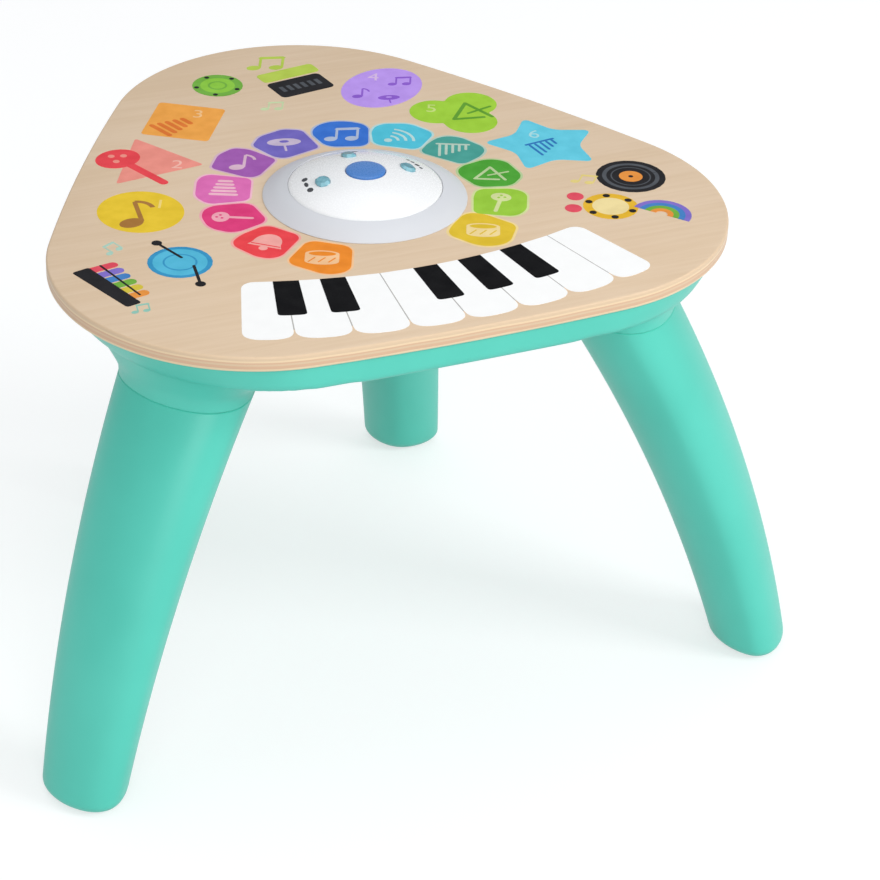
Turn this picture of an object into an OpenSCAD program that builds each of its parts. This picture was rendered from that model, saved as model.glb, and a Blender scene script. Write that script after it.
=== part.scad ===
// Musical activity table: plywood touch top on a moulded base with plug-in legs.
// Units are millimetres, +Z is up, -Y is the piano side. The origin lies on the floor,
// under the middle of the table's footprint.

/* [Table top] */
// Height of the play surface above the floor
table_h = 346; // [320:1:400]
// Thickness of the plywood
ply_t = 11; // [8:0.5:14]
// Distance from the table's axis to each corner circle's centre
corner_dist = 117; // [105:1:130]
// Radius of the rounded corners
corner_r = 140; // [130:1:150]
// Radius of the gently bowed sides
side_r = 1716; // [1200:10:3000]
// Chamfer that breaks the plywood's edges
ply_edge = 1.2; // [0.4:0.1:2]
// Radius of the hole for the centre module
centre_hole_r = 62; // [60:0.5:66]
// Thickness of the touch electrode film
film_t = 0.25; // [0.15:0.05:0.5]

/* [Base shell] */
// Height of the apron band under the plywood
band_h = 20.5; // [20:0.5:26]
// How far the leg collars reach below the band
collar_drop = 34.5; // [34:0.5:50]
// Set-back of the band from the plywood's edge
band_inset = 3; // [2:0.5:6]
// Extra set-back of the band at its lower edge
band_draft = 1.2; // [0.4:0.1:5]
// How far the corners draw in sideways towards the floor of the base
side_draw = 15.5; // [8:0.5:18]
// Wall thickness of the base shell
base_wall = 2.6; // [2.3:0.1:3]

/* [Front legs] */
// Direction of the right front leg, from +X
front_azimuth = -30.5; // [-36:0.5:-24]
// Distance of the front feet from the table's axis
front_foot_r = 300.5; // [280:0.5:320]
// Distance of the front sockets from the table's axis
front_joint_r = 182; // [174:1:194]

// Radius of the front legs' bow
front_bow_r = 1000; // [700:10:1400]
// Half depth of a front leg at its foot
front_foot_depth = 27.5; // [24:0.5:32]
// Half width of a front leg at its foot
front_foot_width = 31.7; // [29:0.1:38]
// Half depth of a front leg at its socket
front_seam_depth = 43; // [40:0.5:47]
// Half width of a front leg at its socket
front_seam_width = 50.5; // [46:0.5:53]

/* [Rear legs] */
// Direction of the right rear leg, from +X
rear_azimuth = 58.8; // [55:0.1:62]
// Distance of the rear feet from the table's axis
rear_foot_r = 234; // [220:0.5:248]
// Distance of the rear sockets from the table's axis
rear_joint_r = 117.5; // [112:0.5:130]
// Radius of the rear legs' bow
rear_bow_r = 1210; // [900:10:1600]
// Half depth of a rear leg at its foot
rear_foot_depth = 21.7; // [20:0.1:28]
// Half width of a rear leg at its foot
rear_foot_width = 30.4; // [26:0.1:34]
// Half depth of a rear leg at its socket
rear_seam_depth = 34; // [30:0.5:40]
// Half width of a rear leg at its socket
rear_seam_width = 36; // [32:0.5:42]
// How far the rear collars flare towards the corner, as a share
rear_flare = 0.45; // [0.2:0.05:0.6]

/* [Leg section] */
// Rounding of the foot's lower edge
foot_round = 9; // [5:0.5:12]
// Wall thickness of a leg
leg_wall = 2.8; // [2:0.1:3.5]
// Length of the spigot that enters the socket
spigot_len = 32; // [24:1:34]
// Wall of the socket round the spigot
socket_wall = 3; // [2.4:0.1:3.4]
// Thickness of the anti-slip pads
pad_t = 2.5; // [2:0.1:3.5]
// How far the pads stand out under the feet
pad_proud = 1; // [0.6:0.1:1.6]
// Set-back of the pads from the flat of the foot
pad_margin = 3; // [2:0.5:5]

/* [Centre module] */
// How far the centre module sits in front of the table's axis
module_y = 5.5; // [4:0.1:5.7]
// Outer radius of the light ring
ring_r = 71.8; // [68:0.2:73]
// Outer radius of the dome
dome_r = 54; // [51:0.2:55]
// Height of the dome's rim above the wood
dome_rim_h = 8.6; // [8:0.1:10]
// Height of the dome's crown above the wood
dome_crown_h = 20.5; // [19.5:0.1:22]
// Wall of the dome and the light ring
shell_t = 2.2; // [1.8:0.1:2.6]
// Radius of the mode button
button_r = 13.9; // [12:0.1:15]
// Travel of the mode button
button_travel = 2; // [1.5:0.1:2.5]
// Distance of the mode lenses from the axis
lens_r = 32; // [30.5:0.5:34]
// Half width of a mode lens
lens_half = 5; // [4.4:0.1:5.4]
// Straight length of a mode lens
lens_straight = 3.6; // [2.5:0.1:4.5]
// How far the mode lenses stand out of the dome
lens_proud = 1.6; // [1:0.1:2]
// Thickness of the circuit boards
board_t = 1.6; // [1.2:0.1:2]
// Depth of the LED board's top below the wood's surface
led_board_drop = 5.8; // [5.4:0.1:6.2]

/* [Speaker] */
// Distance of the speaker from the table's axis, along X
speaker_x = 40; // [38:1:44]
// Distance of the speaker from the table's axis, along Y
speaker_y = 10; // [4:1:14]
// Radius of the speaker's flange
speaker_r = 28; // [26:0.5:30]
// Height of the speaker
speaker_h = 13.6; // [12:0.1:14]
// Radius of the speaker's magnet
magnet_r = 13; // [11:0.5:15]
// Radius of the holes in the grille
grille_hole_r = 1.4; // [1:0.1:1.6]
// Spacing of the grille's rings
grille_pitch = 5; // [4.4:0.1:5.2]

/* [Battery compartment] */
// Clearance between the battery box and the centre cup
cup_clearance = 2; // [1.6:0.1:4]
// Diameter of a cell
cell_d = 14.5; // [13.8:0.1:14.7]
// Length of a cell without its terminal
cell_len = 49.5; // [48:0.1:50]
// Gap between neighbouring cells
cell_gap = 0.7; // [0.5:0.1:1]
// Wall of the battery box
box_wall = 1.4; // [1.2:0.1:1.6]
// Width of the box's flange
box_flange = 6; // [5.5:0.5:7]
// Radius of the battery door's corners
door_corner_r = 4.8; // [3:0.2:6]
// Length of the strip of the door that holds its screw
door_ear = 10; // [9:0.5:12]

/* [Power switch] */
// Distance of the power slider in front of the table's axis
switch_y = 160; // [154:1:163]
// Travel from off to high volume
switch_travel = 8; // [6:0.5:10]
// Length of the slider's finger pad
slider_len = 12; // [10:0.5:14]
// Width of the slider's finger pad
slider_w = 8; // [7:0.5:9]
// How far the slider stands out under the base
slider_proud = 2; // [1.5:0.1:2.5]

/* [Fasteners] */
// Radius of the wood screws' shanks
wood_screw_r = 1.5; // [1.25:0.05:1.75]
// Radius of the wood screws' heads
wood_head_r = 3.3; // [3:0.1:3.6]
// Depth of the wood screws in the plywood
wood_bite = 6; // [4:0.5:6]
// Radius of the small screws' shanks
small_screw_r = 1.1; // [0.9:0.05:1.2]
// Radius of the small screws' heads
small_head_r = 2.1; // [1.9:0.1:2.3]
// Height of the small screws' heads
small_head_t = 1.3; // [1:0.1:1.5]

/* [Clearances] */
// Gap all round between a spigot and its socket
socket_gap = 0.35; // [0.25:0.05:0.5]
// Gap round parts that drop into an opening
fit_gap = 0.3; // [0.2:0.05:0.4]
// Gap round screws in their holes
screw_gap = 0.05; // [0.03:0.01:0.1]

/* [Hidden] */

$fn = 64;
eps = 0.01;

teal = "#4fc4ac";
wood = "#dfc4a5";
white = "#f4f5f5";
ring_grey = "#d9dbe0";
button_blue = "#3b7bc8";
lens_blue = "#7fd3e6";
steel = "#b9bcc0";
board_green = "#2f6b46";
black = "#26272a";

// Levels, from the floor up
foot_z = pad_proud;
ply_z = table_h - ply_t;
floor_z = ply_z - band_h;
floor_top = floor_z + base_wall;
seam_z = floor_z - collar_drop;
flare_z = seam_z + collar_drop / 4;

// Rounded-triangle outline: three corner arcs joined by three bowed sides
function side_off(dist) =
    (sqrt(4 * pow(side_r - corner_r, 2) - 3 * dist * dist) - dist) / 2;
function side_half_angle(dist) = asin(dist * sin(60) / (side_r - corner_r));
function outline_pts(inset, dist) = let (
        off = side_off(dist), half = side_half_angle(dist),
        side_steps = 6, corner_steps = 20
    ) [
        for (mid = [-90, 30, 150]) each concat(
            [for (i = [0 : side_steps - 1]) let (a = mid - half + 2 * half * i / side_steps)
                [(side_r - inset) * cos(a) - off * cos(mid),
                 (side_r - inset) * sin(a) - off * sin(mid)]],
            [for (i = [0 : corner_steps - 1])
                let (a = mid + half + (120 - 2 * half) * i / corner_steps)
                [(corner_r - inset) * cos(a) + dist * cos(mid + 60),
                 (corner_r - inset) * sin(a) + dist * sin(mid + 60)]]
        )
    ];

half_width = corner_dist * cos(30) + corner_r;
front_y = side_off(corner_dist) - side_r;
back_y = corner_dist + corner_r;
axis_y = -(front_y + back_y) / 2;

// Places the table's axis so that the footprint is centred on the origin
module at_axis() translate([0, axis_y, 0]) children();
// Places the centre module's axis
module at_module() translate([0, axis_y - module_y, 0]) children();

// Legs: [azimuth, foot distance, joint distance, bow, foot half sizes, seam half sizes, flare]
front_sizes = [
    front_foot_r, front_joint_r, front_bow_r,
    [front_foot_depth, front_foot_width], [front_seam_depth, front_seam_width], 1
];
rear_sizes = [
    rear_foot_r, rear_joint_r, rear_bow_r,
    [rear_foot_depth, rear_foot_width], [rear_seam_depth, rear_seam_width], rear_flare
];
legs = [
    concat(180 - front_azimuth, front_sizes),
    concat(front_azimuth, front_sizes),
    concat(180 - rear_azimuth, rear_sizes),
    concat(rear_azimuth, rear_sizes)
];

section_steps = 40;
section_power = 1.1;
section_lean = 0.25;

// One point of a leg's section: an oval with soft ridges, fuller on its outer side
function section_point(depth, width, a) = [
    depth * (sign(cos(a)) * pow(abs(cos(a)), section_power) + section_lean * pow(sin(a), 2)),
    width * sign(sin(a)) * pow(abs(sin(a)), section_power)
];
function section_pts(depth, width) =
    [for (i = [0 : section_steps - 1]) section_point(depth, width, 360 * i / section_steps)];

// Centre line of a leg: an arc from the foot to the seam, in the leg's own vertical plane
function leg_chord(leg) = norm([leg[1] - leg[2], seam_z - foot_z]);
function leg_tilt(leg) = atan2(leg[1] - leg[2], seam_z - foot_z) - asin(leg_chord(leg) / 2 / leg[3]);
function leg_x(leg, z) = let (
        tilt = leg_tilt(leg), cx = leg[1] - leg[3] * cos(tilt), cz = foot_z - leg[3] * sin(tilt)
    ) cx + sqrt(pow(leg[3], 2) - pow(z - cz, 2));
function along(z) = (z - foot_z) / (seam_z - foot_z);
function leg_depth(leg, z) = leg[4][0] + (leg[5][0] - leg[4][0]) * along(z);
function leg_width(leg, z) = leg[4][1] + (leg[5][1] - leg[4][1]) * along(z);
function leg_ring(leg, z, inset) =
    [for (p = section_pts(leg_depth(leg, z) - inset, leg_width(leg, z) - inset))
        [p[0] + leg_x(leg, z), p[1], z]];

// Closed skin through a stack of rings that all have the same number of points
module skin(rings) {
    n = len(rings[0]);
    last = len(rings) - 1;
    polyhedron(
        points = [for (ring = rings) each ring],
        faces = concat(
            [[for (i = [n - 1 : -1 : 0]) n - 1 - i]],
            [for (k = [0 : last - 1], i = [0 : n - 1]) each [
                [k * n + i, (k + 1) * n + i, k * n + (i + 1) % n],
                [k * n + (i + 1) % n, (k + 1) * n + i, (k + 1) * n + (i + 1) % n]
            ]],
            [[for (i = [n - 1 : -1 : 0]) last * n + i]]
        )
    );
}

leg_steps = 9;
round_steps = 4;

module leg_outside(leg) {
    rounding = [for (i = [0 : round_steps - 1]) let (a = 90 * i / round_steps)
        leg_ring(leg, foot_z + foot_round * (1 - cos(a)), foot_round * (1 - sin(a)))];
    shaft = [for (i = [0 : leg_steps])
        let (low = foot_z + foot_round)
        leg_ring(leg, low + (seam_z - low) * i / leg_steps, 0)];
    skin(concat(rounding, shaft));
}

module leg_hollow(leg) {
    low = foot_z + foot_round + leg_wall;
    high = seam_z - leg_wall;
    skin([for (i = [0 : leg_steps]) leg_ring(leg, low + (high - low) * i / leg_steps, leg_wall)]);
}

// Upright prism with the leg's section at the seam
module seam_prism(leg, inset, z0, z1)
    translate([leg[2], 0, z0])
        linear_extrude(z1 - z0)
            polygon(section_pts(leg_depth(leg, seam_z) - inset, leg_width(leg, seam_z) - inset));

module leg(k) {
    this = legs[k];
    spigot_inset = socket_wall + socket_gap;
    color(teal) at_axis() rotate(this[0]) difference() {
        union() {
            leg_outside(this);
            seam_prism(this, spigot_inset, seam_z - leg_wall, seam_z + spigot_len);
        }
        leg_hollow(this);
        seam_prism(this, spigot_inset + leg_wall, seam_z - leg_wall - 1, seam_z + spigot_len + 1);
        pad_prism(this);
    }
}

// The anti-slip pad, which also cuts its own recess in the foot
module pad_prism(leg)
    translate([leg_x(leg, foot_z), 0, 0]) linear_extrude(pad_t)
        polygon(section_pts(
            leg_depth(leg, foot_z) - foot_round - pad_margin,
            leg_width(leg, foot_z) - foot_round - pad_margin));

module foot_pad(k) {
    this = legs[k];
    color(black) at_axis() rotate(this[0]) pad_prism(this);
}

module leg_front_left() leg(0);
module leg_front_right() leg(1);
module leg_rear_left() leg(2);
module leg_rear_right() leg(3);
module foot_pad_front_left() foot_pad(0);
module foot_pad_front_right() foot_pad(1);
module foot_pad_rear_left() foot_pad(2);
module foot_pad_rear_right() foot_pad(3);

// Wood screws: six under the apron, four under the centre cup
side_screw_inset = 22;
side_screw_step = 45;
function side_spots() = [for (mid = [-90, 30, 150], s = [-1, 1])
    let (d = side_r - side_off(corner_dist) - side_screw_inset)
    [d * cos(mid) - s * side_screw_step * sin(mid), d * sin(mid) + s * side_screw_step * cos(mid)]];
boss_r = wood_head_r + 1.6;
head_seat_z = ply_z - band_h / 2;
cup_r = ring_r + 1;
cup_screw_r = cup_r - wood_head_r - 1.2;
function cup_spots() = [for (a = [45 : 90 : 315]) [cup_screw_r * cos(a), cup_screw_r * sin(a)]];
function panel_spots() = concat(side_spots(), [for (p = cup_spots()) p - [0, module_y]]);

module top_panel() color(wood) at_axis() difference() {
    hull() {
        translate([0, 0, ply_z]) linear_extrude(ply_t) polygon(outline_pts(ply_edge, corner_dist));
        translate([0, 0, ply_z + ply_edge]) linear_extrude(ply_t - 2 * ply_edge)
            polygon(outline_pts(0, corner_dist));
    }
    translate([0, -module_y, ply_z - 1]) cylinder(r = centre_hole_r, h = ply_t + 2);
    for (p = panel_spots())
        translate([p[0], p[1], ply_z - 1])
            cylinder(r = wood_screw_r + screw_gap, h = wood_bite + 1.3, $fn = 24);
}

film_inset = 12;
module touch_film() color("#c9873f") at_axis() difference() {
    translate([0, 0, ply_z - film_t]) linear_extrude(film_t) polygon(outline_pts(film_inset, corner_dist));
    translate([0, -module_y, ply_z - 1]) cylinder(r = cup_r + 2, h = 2);
    for (p = side_spots()) translate([p[0], p[1], ply_z - 1]) cylinder(r = boss_r + 1, h = 2, $fn = 32);
}

// Collar: grows from the leg's section at the seam towards the corner circle
corner_skin_r = corner_r - band_inset;
function flare(z) = let (v = max(0, (z - flare_z) / (ply_z - flare_z))) 0.55 * v + 0.45 * pow(v, 4);
function corner_centre(k) = k < 2 ? [corner_dist, 0]
    : corner_dist * [cos(90 - legs[k][0]), sin(90 - legs[k][0])];
function collar_ring(k, z, inset) = let (
        leg = legs[k], w = leg[6] * flare(z), from = [leg[2], 0], c = from + w * (corner_centre(k) - from),
        depth = leg_depth(leg, seam_z) * (1 - w) + corner_skin_r * w,
        width = leg_width(leg, seam_z) * (1 - w) + corner_skin_r * w
    ) [for (p = section_pts(depth - inset, width - inset)) [p[0] + c[0], p[1] + c[1], z]];

collar_steps = 6;
module collar(k, inset, z0, z1)
    rotate(legs[k][0])
        skin([for (i = [0 : collar_steps]) collar_ring(k, z0 + (z1 - z0) * i / collar_steps, inset)]);

module band(extra, z0, z1) hull() {
    translate([0, 0, z1]) linear_extrude(eps)
        polygon(outline_pts(band_inset + extra, corner_dist));
    translate([0, 0, z0]) linear_extrude(eps) scale([1 - side_draw / half_width, 1])
        polygon(outline_pts(band_inset + band_draft + extra, corner_dist));
}

socket_roof = seam_z + spigot_len + 1;

// Battery opening and door
box_len = cell_len + 1 + 6.5 + 2 * box_wall;
box_w = 3 * cell_d + 2 * cell_gap + 1.6 + 2 * box_wall;
door_margin = 3;
open_len = box_len + 2 * door_margin;
open_w = box_w + 2 * door_margin;
module door_plan(grow) {
    r = door_corner_r + grow;
    x = open_len / 2 + grow - r;
    y0 = -open_w / 2 - grow + r;
    y1 = open_w / 2 + door_ear + grow - r;
    for (p = [[-x, y0], [x, y0], [x, y1], [-x, y1]]) translate(p) circle(r, $fn = 32);
    translate([-x - r, y0]) square([2 * (x + r), y1 - y0]);
    translate([-x, y0 - r]) square([2 * x, y1 - y0 + 2 * r]);
}
door_screw_spot = [0, open_w / 2 + door_ear / 2 - 0.5];
battery_y = module_y + cup_r + cup_clearance + box_w / 2;
module at_battery() translate([0, -battery_y, 0]) children();

// Speaker grille
function grille_spots() = [for (ring = [0 : 3], i = [0 : max(0, 6 * ring - 1)])
    let (a = ring == 0 ? 0 : 60 * i / ring) [grille_pitch * ring * cos(a), grille_pitch * ring * sin(a)]];
module at_speaker() translate([speaker_x, speaker_y, 0]) children();
speaker_hole_r = speaker_r - small_head_r - 0.6;
function speaker_spots() = [for (a = [45 : 90 : 315]) [speaker_hole_r * cos(a), speaker_hole_r * sin(a)]];

// Main board
main_board_size = [62, 46];
main_board_spot = [-46, 14];
main_board_z = floor_top + 5;
board_edge = 3.5;
function corners(size, edge) = [for (sx = [-1, 1], sy = [-1, 1])
    [sx * (size[0] / 2 - edge), sy * (size[1] / 2 - edge)]];
module at_main_board() translate([main_board_spot[0], main_board_spot[1], 0]) children();

// Power switch
slot_w = 5.4;
neck_len = 8;
switch_post_h = 3.9;
switch_ear = 13;
module at_switch() translate([0, -switch_y, 0]) children();

small_bite = 2.1;

module base_shell() color(teal) at_axis() difference() {
    union() {
        difference() {
            union() {
                band(0, floor_z, ply_z - eps);
                for (k = [0 : 3]) collar(k, 0, seam_z, floor_z + base_wall / 2);
            }
            band(base_wall, floor_top, ply_z + 1);
            for (k = [0 : 3]) collar(k, base_wall, socket_roof - base_wall, floor_top + 1);
        }
        for (k = [0 : 3]) rotate(legs[k][0])
            seam_prism(legs[k], socket_wall / 2, seam_z + 1, socket_roof + base_wall);
        for (p = side_spots()) translate([p[0], p[1], floor_z])
            cylinder(r = boss_r, h = band_h - eps, $fn = 32);
        at_main_board() for (p = corners(main_board_size, board_edge))
            translate([p[0], p[1], floor_z + 1]) cylinder(r = 3, h = main_board_z - floor_z - 1, $fn = 32);
        at_switch() for (s = [-1, 1]) translate([s * switch_ear, 0, floor_z + 1]) {
            cylinder(r = 2.4, h = base_wall - 1 + switch_post_h, $fn = 32);
            cylinder(r = 1, h = base_wall + switch_post_h + 0.6, $fn = 24);
        }
    }
    for (k = [0 : 3]) rotate(legs[k][0]) seam_prism(legs[k], socket_wall, seam_z - 1, socket_roof);
    for (p = side_spots()) translate([p[0], p[1], floor_z - 1]) {
        cylinder(r = wood_screw_r + screw_gap, h = band_h + 2, $fn = 24);
        cylinder(r = wood_head_r + fit_gap, h = head_seat_z - floor_z + 1, $fn = 32);
    }
    at_battery() translate([0, 0, floor_z - 1]) linear_extrude(base_wall + 2) door_plan(0);
    at_battery() for (p = flange_spots()) translate([p[0], p[1], floor_top - small_bite])
        cylinder(r = small_screw_r + screw_gap, h = small_bite + 1, $fn = 24);
    at_speaker() for (p = grille_spots()) translate([p[0], p[1], floor_z - 1])
        cylinder(r = grille_hole_r, h = base_wall + 2, $fn = 16);
    at_speaker() for (p = speaker_spots()) translate([p[0], p[1], floor_top - small_bite])
        cylinder(r = small_screw_r + screw_gap, h = small_bite + 1, $fn = 24);
    at_main_board() for (p = corners(main_board_size, board_edge)) translate([p[0], p[1], main_board_z - 4])
        cylinder(r = small_screw_r + screw_gap, h = 5, $fn = 24);
    at_switch() translate([0, 0, floor_z - 1]) linear_extrude(base_wall + 2)
        square([neck_len + switch_travel + 2 * fit_gap, slot_w], center = true);
}

// Centre module
seat_z = table_h + dome_rim_h - shell_t;
ring_foot_r = ring_r - 4.8;
ring_shoulder_r = dome_r + 3.2;
// Height of the light ring's underside at a radius
function ring_under(r) = table_h + (seat_z - shell_t - table_h)
    * max(0, min(1, (ring_foot_r - r) / (ring_foot_r - ring_shoulder_r)));
skirt_r = centre_hole_r - 0.6;
skirt_t = 2;
skirt_root = 1;
module light_ring() color(ring_grey) at_module() rotate_extrude($fn = 96) {
    polygon([
        [ring_r, table_h], [ring_r, table_h + 0.9],
        [dome_r + fit_gap, table_h + dome_rim_h], [dome_r + fit_gap, seat_z],
        [dome_r - 2.6, seat_z], [dome_r - 2.6, seat_z - shell_t],
        [ring_shoulder_r, seat_z - shell_t], [ring_foot_r, table_h]
    ]);
    inner = skirt_r - skirt_t;
    polygon([
        [inner, table_h - led_board_drop], [skirt_r, table_h - led_board_drop],
        [skirt_r, ring_under(skirt_r) + skirt_root], [inner, ring_under(inner) + skirt_root]
    ]);
}

cup_z = ply_z - 2.4;
cup_wall_r = skirt_r - skirt_t - 0.4;
led_board_top = table_h - led_board_drop;
led_board_z = led_board_top - board_t;
led_board_r = cup_wall_r - 2 - fit_gap;
led_post_r = led_board_r - 4;
function led_posts() = [for (a = [0 : 90 : 270]) [led_post_r * cos(a), led_post_r * sin(a)]];
module centre_cup() color(white) at_module() difference() {
    union() {
        translate([0, 0, cup_z]) cylinder(r = cup_r, h = ply_z - cup_z, $fn = 96);
        translate([0, 0, cup_z]) difference() {
            cylinder(r = cup_wall_r, h = led_board_top + 4 - cup_z, $fn = 96);
            translate([0, 0, ply_z - cup_z]) cylinder(r = cup_wall_r - 2, h = 20, $fn = 96);
        }
        for (p = led_posts()) translate([p[0], p[1], cup_z + 1])
            cylinder(r = 3, h = led_board_z - cup_z - 1, $fn = 32);
    }
    for (p = cup_spots()) translate([p[0], p[1], cup_z - 1])
        cylinder(r = wood_screw_r + screw_gap, h = 6, $fn = 24);
    for (p = led_posts()) translate([p[0], p[1], led_board_z - 2.6])
        cylinder(r = small_screw_r + screw_gap, h = 4, $fn = 24);
    translate([0, 30, cup_z - 1]) cylinder(r = 6, h = 10);
}

// The dome is a cap of a sphere
dome_rise = dome_crown_h - dome_rim_h;
dome_sphere_r = (dome_r * dome_r + dome_rise * dome_rise) / 2 / dome_rise;
dome_sphere_z = table_h + dome_crown_h - dome_sphere_r;
function cap_z(r, radius) = sqrt(radius * radius - r * r);
button_hole_r = button_r + fit_gap;
guide_r = button_hole_r + 2;
guide_z = table_h + 9;
dome_steps = 12;
module dome_profile() {
    outer = [for (i = [0 : dome_steps]) let (r = button_hole_r + (dome_r - button_hole_r) * i / dome_steps)
        [r, dome_sphere_z + cap_z(r, dome_sphere_r)]];
    inner = [for (i = [dome_steps : -1 : 0]) let (r = guide_r + (dome_r - shell_t - guide_r) * i / dome_steps)
        [r, dome_sphere_z + cap_z(r, dome_sphere_r - shell_t)]];
    rim = [[dome_r, seat_z], [dome_r - shell_t, seat_z]];
    guide = [[guide_r, guide_z], [button_hole_r, guide_z]];
    polygon(concat(outer, rim, inner, guide));
}
lens_angles = [180, 90, 0];
// Every lens keeps its long sides from front to back
module at_lens(a)
    translate([0, 0, dome_sphere_z]) rotate([0, asin(lens_r / dome_sphere_r), a]) rotate(-a)
        children();
module lens_plan(grow) {
    for (s = [-1, 1]) translate([0, s * lens_straight / 2]) circle(lens_half + grow, $fn = 32);
    square([2 * (lens_half + grow), lens_straight], center = true);
}
module dome_cover() color(white) at_module() difference() {
    rotate_extrude($fn = 96) dome_profile();
    for (a = lens_angles) at_lens(a) translate([0, 0, dome_sphere_r - 8])
        linear_extrude(12) lens_plan(fit_gap / 2);
}
module mode_lens(a) color(lens_blue) at_module() at_lens(a) {
    translate([0, 0, dome_sphere_r - shell_t - 0.3]) linear_extrude(shell_t + 0.3 + lens_proud) lens_plan(0);
    translate([0, 0, dome_sphere_r - shell_t - 1.3]) linear_extrude(1.1) lens_plan(1.2);
}
module mode_lens_left() mode_lens(lens_angles[0]);
module mode_lens_back() mode_lens(lens_angles[1]);
module mode_lens_right() mode_lens(lens_angles[2]);

// Mode button, spring and switch
button_edge_z = dome_sphere_z + cap_z(button_hole_r, dome_sphere_r) + 0.6;
button_crown = 1.2;
button_t = 2.4;
button_under_z = button_edge_z - button_t;
flange_t = 1.6;
flange_r = button_hole_r + 1.2;
stem_r = 3;
plunger_top = led_board_top + 6.6;
stem_end = plunger_top + button_travel + screw_gap;
function crown_pts(steps) = [for (i = [0 : steps]) let (t = 90 * i / steps)
    [button_r * sin(t), button_edge_z + button_crown * cos(t)]];
skirt_in = button_r - 1.8;
module mode_button() color(button_blue) at_module() rotate_extrude($fn = 72)
    polygon(concat(
        [[0, stem_end], [stem_r, stem_end], [stem_r, button_under_z], [skirt_in, button_under_z],
         [skirt_in, guide_z - flange_t], [flange_r, guide_z - flange_t], [flange_r, guide_z],
         [button_r, guide_z]],
        [for (p = [len(crown_pts(8)) - 1 : -1 : 0]) crown_pts(8)[p]]
    ));

seat_top = led_board_top + 8;
seat_r = 9;
module spring_seat() color(white) at_module() difference() {
    translate([0, 0, led_board_top]) cylinder(r = seat_r, h = seat_top - led_board_top);
    translate([0, 0, led_board_top - 1]) cylinder(r = seat_r - 1.4, h = seat_top - led_board_top - 0.4);
    cylinder(r = stem_r + fit_gap, h = seat_top + 1);
}
tact_half = 4.6;
tact_h = 4;
plunger_r = 1.7;
module tact_switch() color(black) at_module() {
    translate([-tact_half, -tact_half, led_board_top]) cube([2 * tact_half, 2 * tact_half, tact_h]);
    translate([0, 0, led_board_top + tact_h - eps])
        cylinder(r = plunger_r, h = plunger_top - led_board_top - tact_h + eps, $fn = 32);
}

// Round wire wound into an open coil, from turns, radii and height
function coil_rings(r0, r1, h, wire, turns, per_turn, sides) =
    [for (i = [0 : turns * per_turn]) let (
            t = i / (turns * per_turn), a = 360 * turns * t, r = r0 + (r1 - r0) * t
        ) [for (j = [0 : sides - 1]) let (b = -360 * j / sides, q = r + wire * cos(b))
            [q * cos(a), q * sin(a), wire + (h - 2 * wire) * t + wire * sin(b)]]];
spring_wire = 0.45;
module button_spring() color(steel) at_module() translate([0, 0, seat_top + eps])
    skin(coil_rings(stem_r + 2.2, stem_r + 2.2, button_under_z - seat_top - 2 * eps, spring_wire, 5, 16, 6));

module led_board() color(board_green) at_module() difference() {
    translate([0, 0, led_board_z]) cylinder(r = led_board_r, h = board_t, $fn = 96);
    for (p = led_posts()) translate([p[0], p[1], led_board_z - 1])
        cylinder(r = small_screw_r + screw_gap, h = board_t + 2, $fn = 24);
}
led_count = 12;
led_ring_r = led_post_r - 5;
led_size = [3.5, 2.8, 1.4];
module leds() color("#f2eeda") at_module() {
    for (i = [0 : led_count - 1]) rotate(360 * (i + 0.5) / led_count)
        translate([led_ring_r - led_size[0] / 2, -led_size[1] / 2, led_board_top]) cube(led_size);
    for (a = lens_angles) rotate(a)
        translate([lens_r - led_size[0] / 2, -led_size[1] / 2, led_board_top]) cube(led_size);
}

module main_board() color(board_green) at_axis() at_main_board() difference() {
    translate([-main_board_size[0] / 2, -main_board_size[1] / 2, main_board_z])
        cube([main_board_size[0], main_board_size[1], board_t]);
    for (p = corners(main_board_size, board_edge)) translate([p[0], p[1], main_board_z - 1])
        cylinder(r = small_screw_r + screw_gap, h = board_t + 2, $fn = 24);
}
// Processor, sound amplifier, oscillator, two capacitors and three plugs
processor = [14, 14, 1.6];
amplifier = [8, 5, 1.4];
oscillator = [5, 5, 1.2];
plug = [8, 5, 4.6];
capacitor_r = 3.2;
capacitor_h = 6.2;
module board_components() color(black) at_axis() at_main_board() translate([0, 0, main_board_z + board_t]) {
    translate([-7, -7, 0]) cube(processor);
    translate([14, -4, 0]) cube(amplifier);
    translate([-22, 8, 0]) cube(oscillator);
    for (p = [[-20, -12, 0], [20, 10, 0]]) translate(p) cylinder(r = capacitor_r, h = capacitor_h, $fn = 32);
    for (x = [-16, -4, 8]) translate([x, 15, 0]) cube(plug);
}

// Speaker
magnet_t = 4.6;
frame_t = 1.4;
frame_top = speaker_h - magnet_t;
coil_hole_r = magnet_r - 4;
cone_r = speaker_r - 6;
module speaker_frame() color(steel) at_axis() at_speaker() difference() {
    translate([0, 0, floor_top]) rotate_extrude($fn = 72) polygon([
        [cone_r, 0], [speaker_r, 0], [speaker_r, frame_t], [cone_r + 1, frame_t],
        [magnet_r + 3, frame_top - frame_t], [magnet_r + 3, frame_top],
        [coil_hole_r, frame_top], [coil_hole_r, frame_top - frame_t],
        [magnet_r + 2, frame_top - frame_t], [cone_r, frame_t - 0.2]
    ]);
    for (p = speaker_spots()) translate([p[0], p[1], floor_top - 1])
        cylinder(r = small_screw_r + screw_gap, h = 4, $fn = 24);
}
cone_top = frame_top - 1.7;
module speaker_cone() color(black) at_axis() at_speaker() translate([0, 0, floor_top])
    rotate_extrude($fn = 72) polygon([
        [cone_r, 0.6], [cone_r, 1.2], [cone_r - 2, 1.4],
        [coil_hole_r, cone_top], [0, cone_top - 2.2], [0, cone_top - 3], [coil_hole_r, cone_top - 0.9],
        [cone_r - 2.5, 0.7]
    ]);
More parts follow.
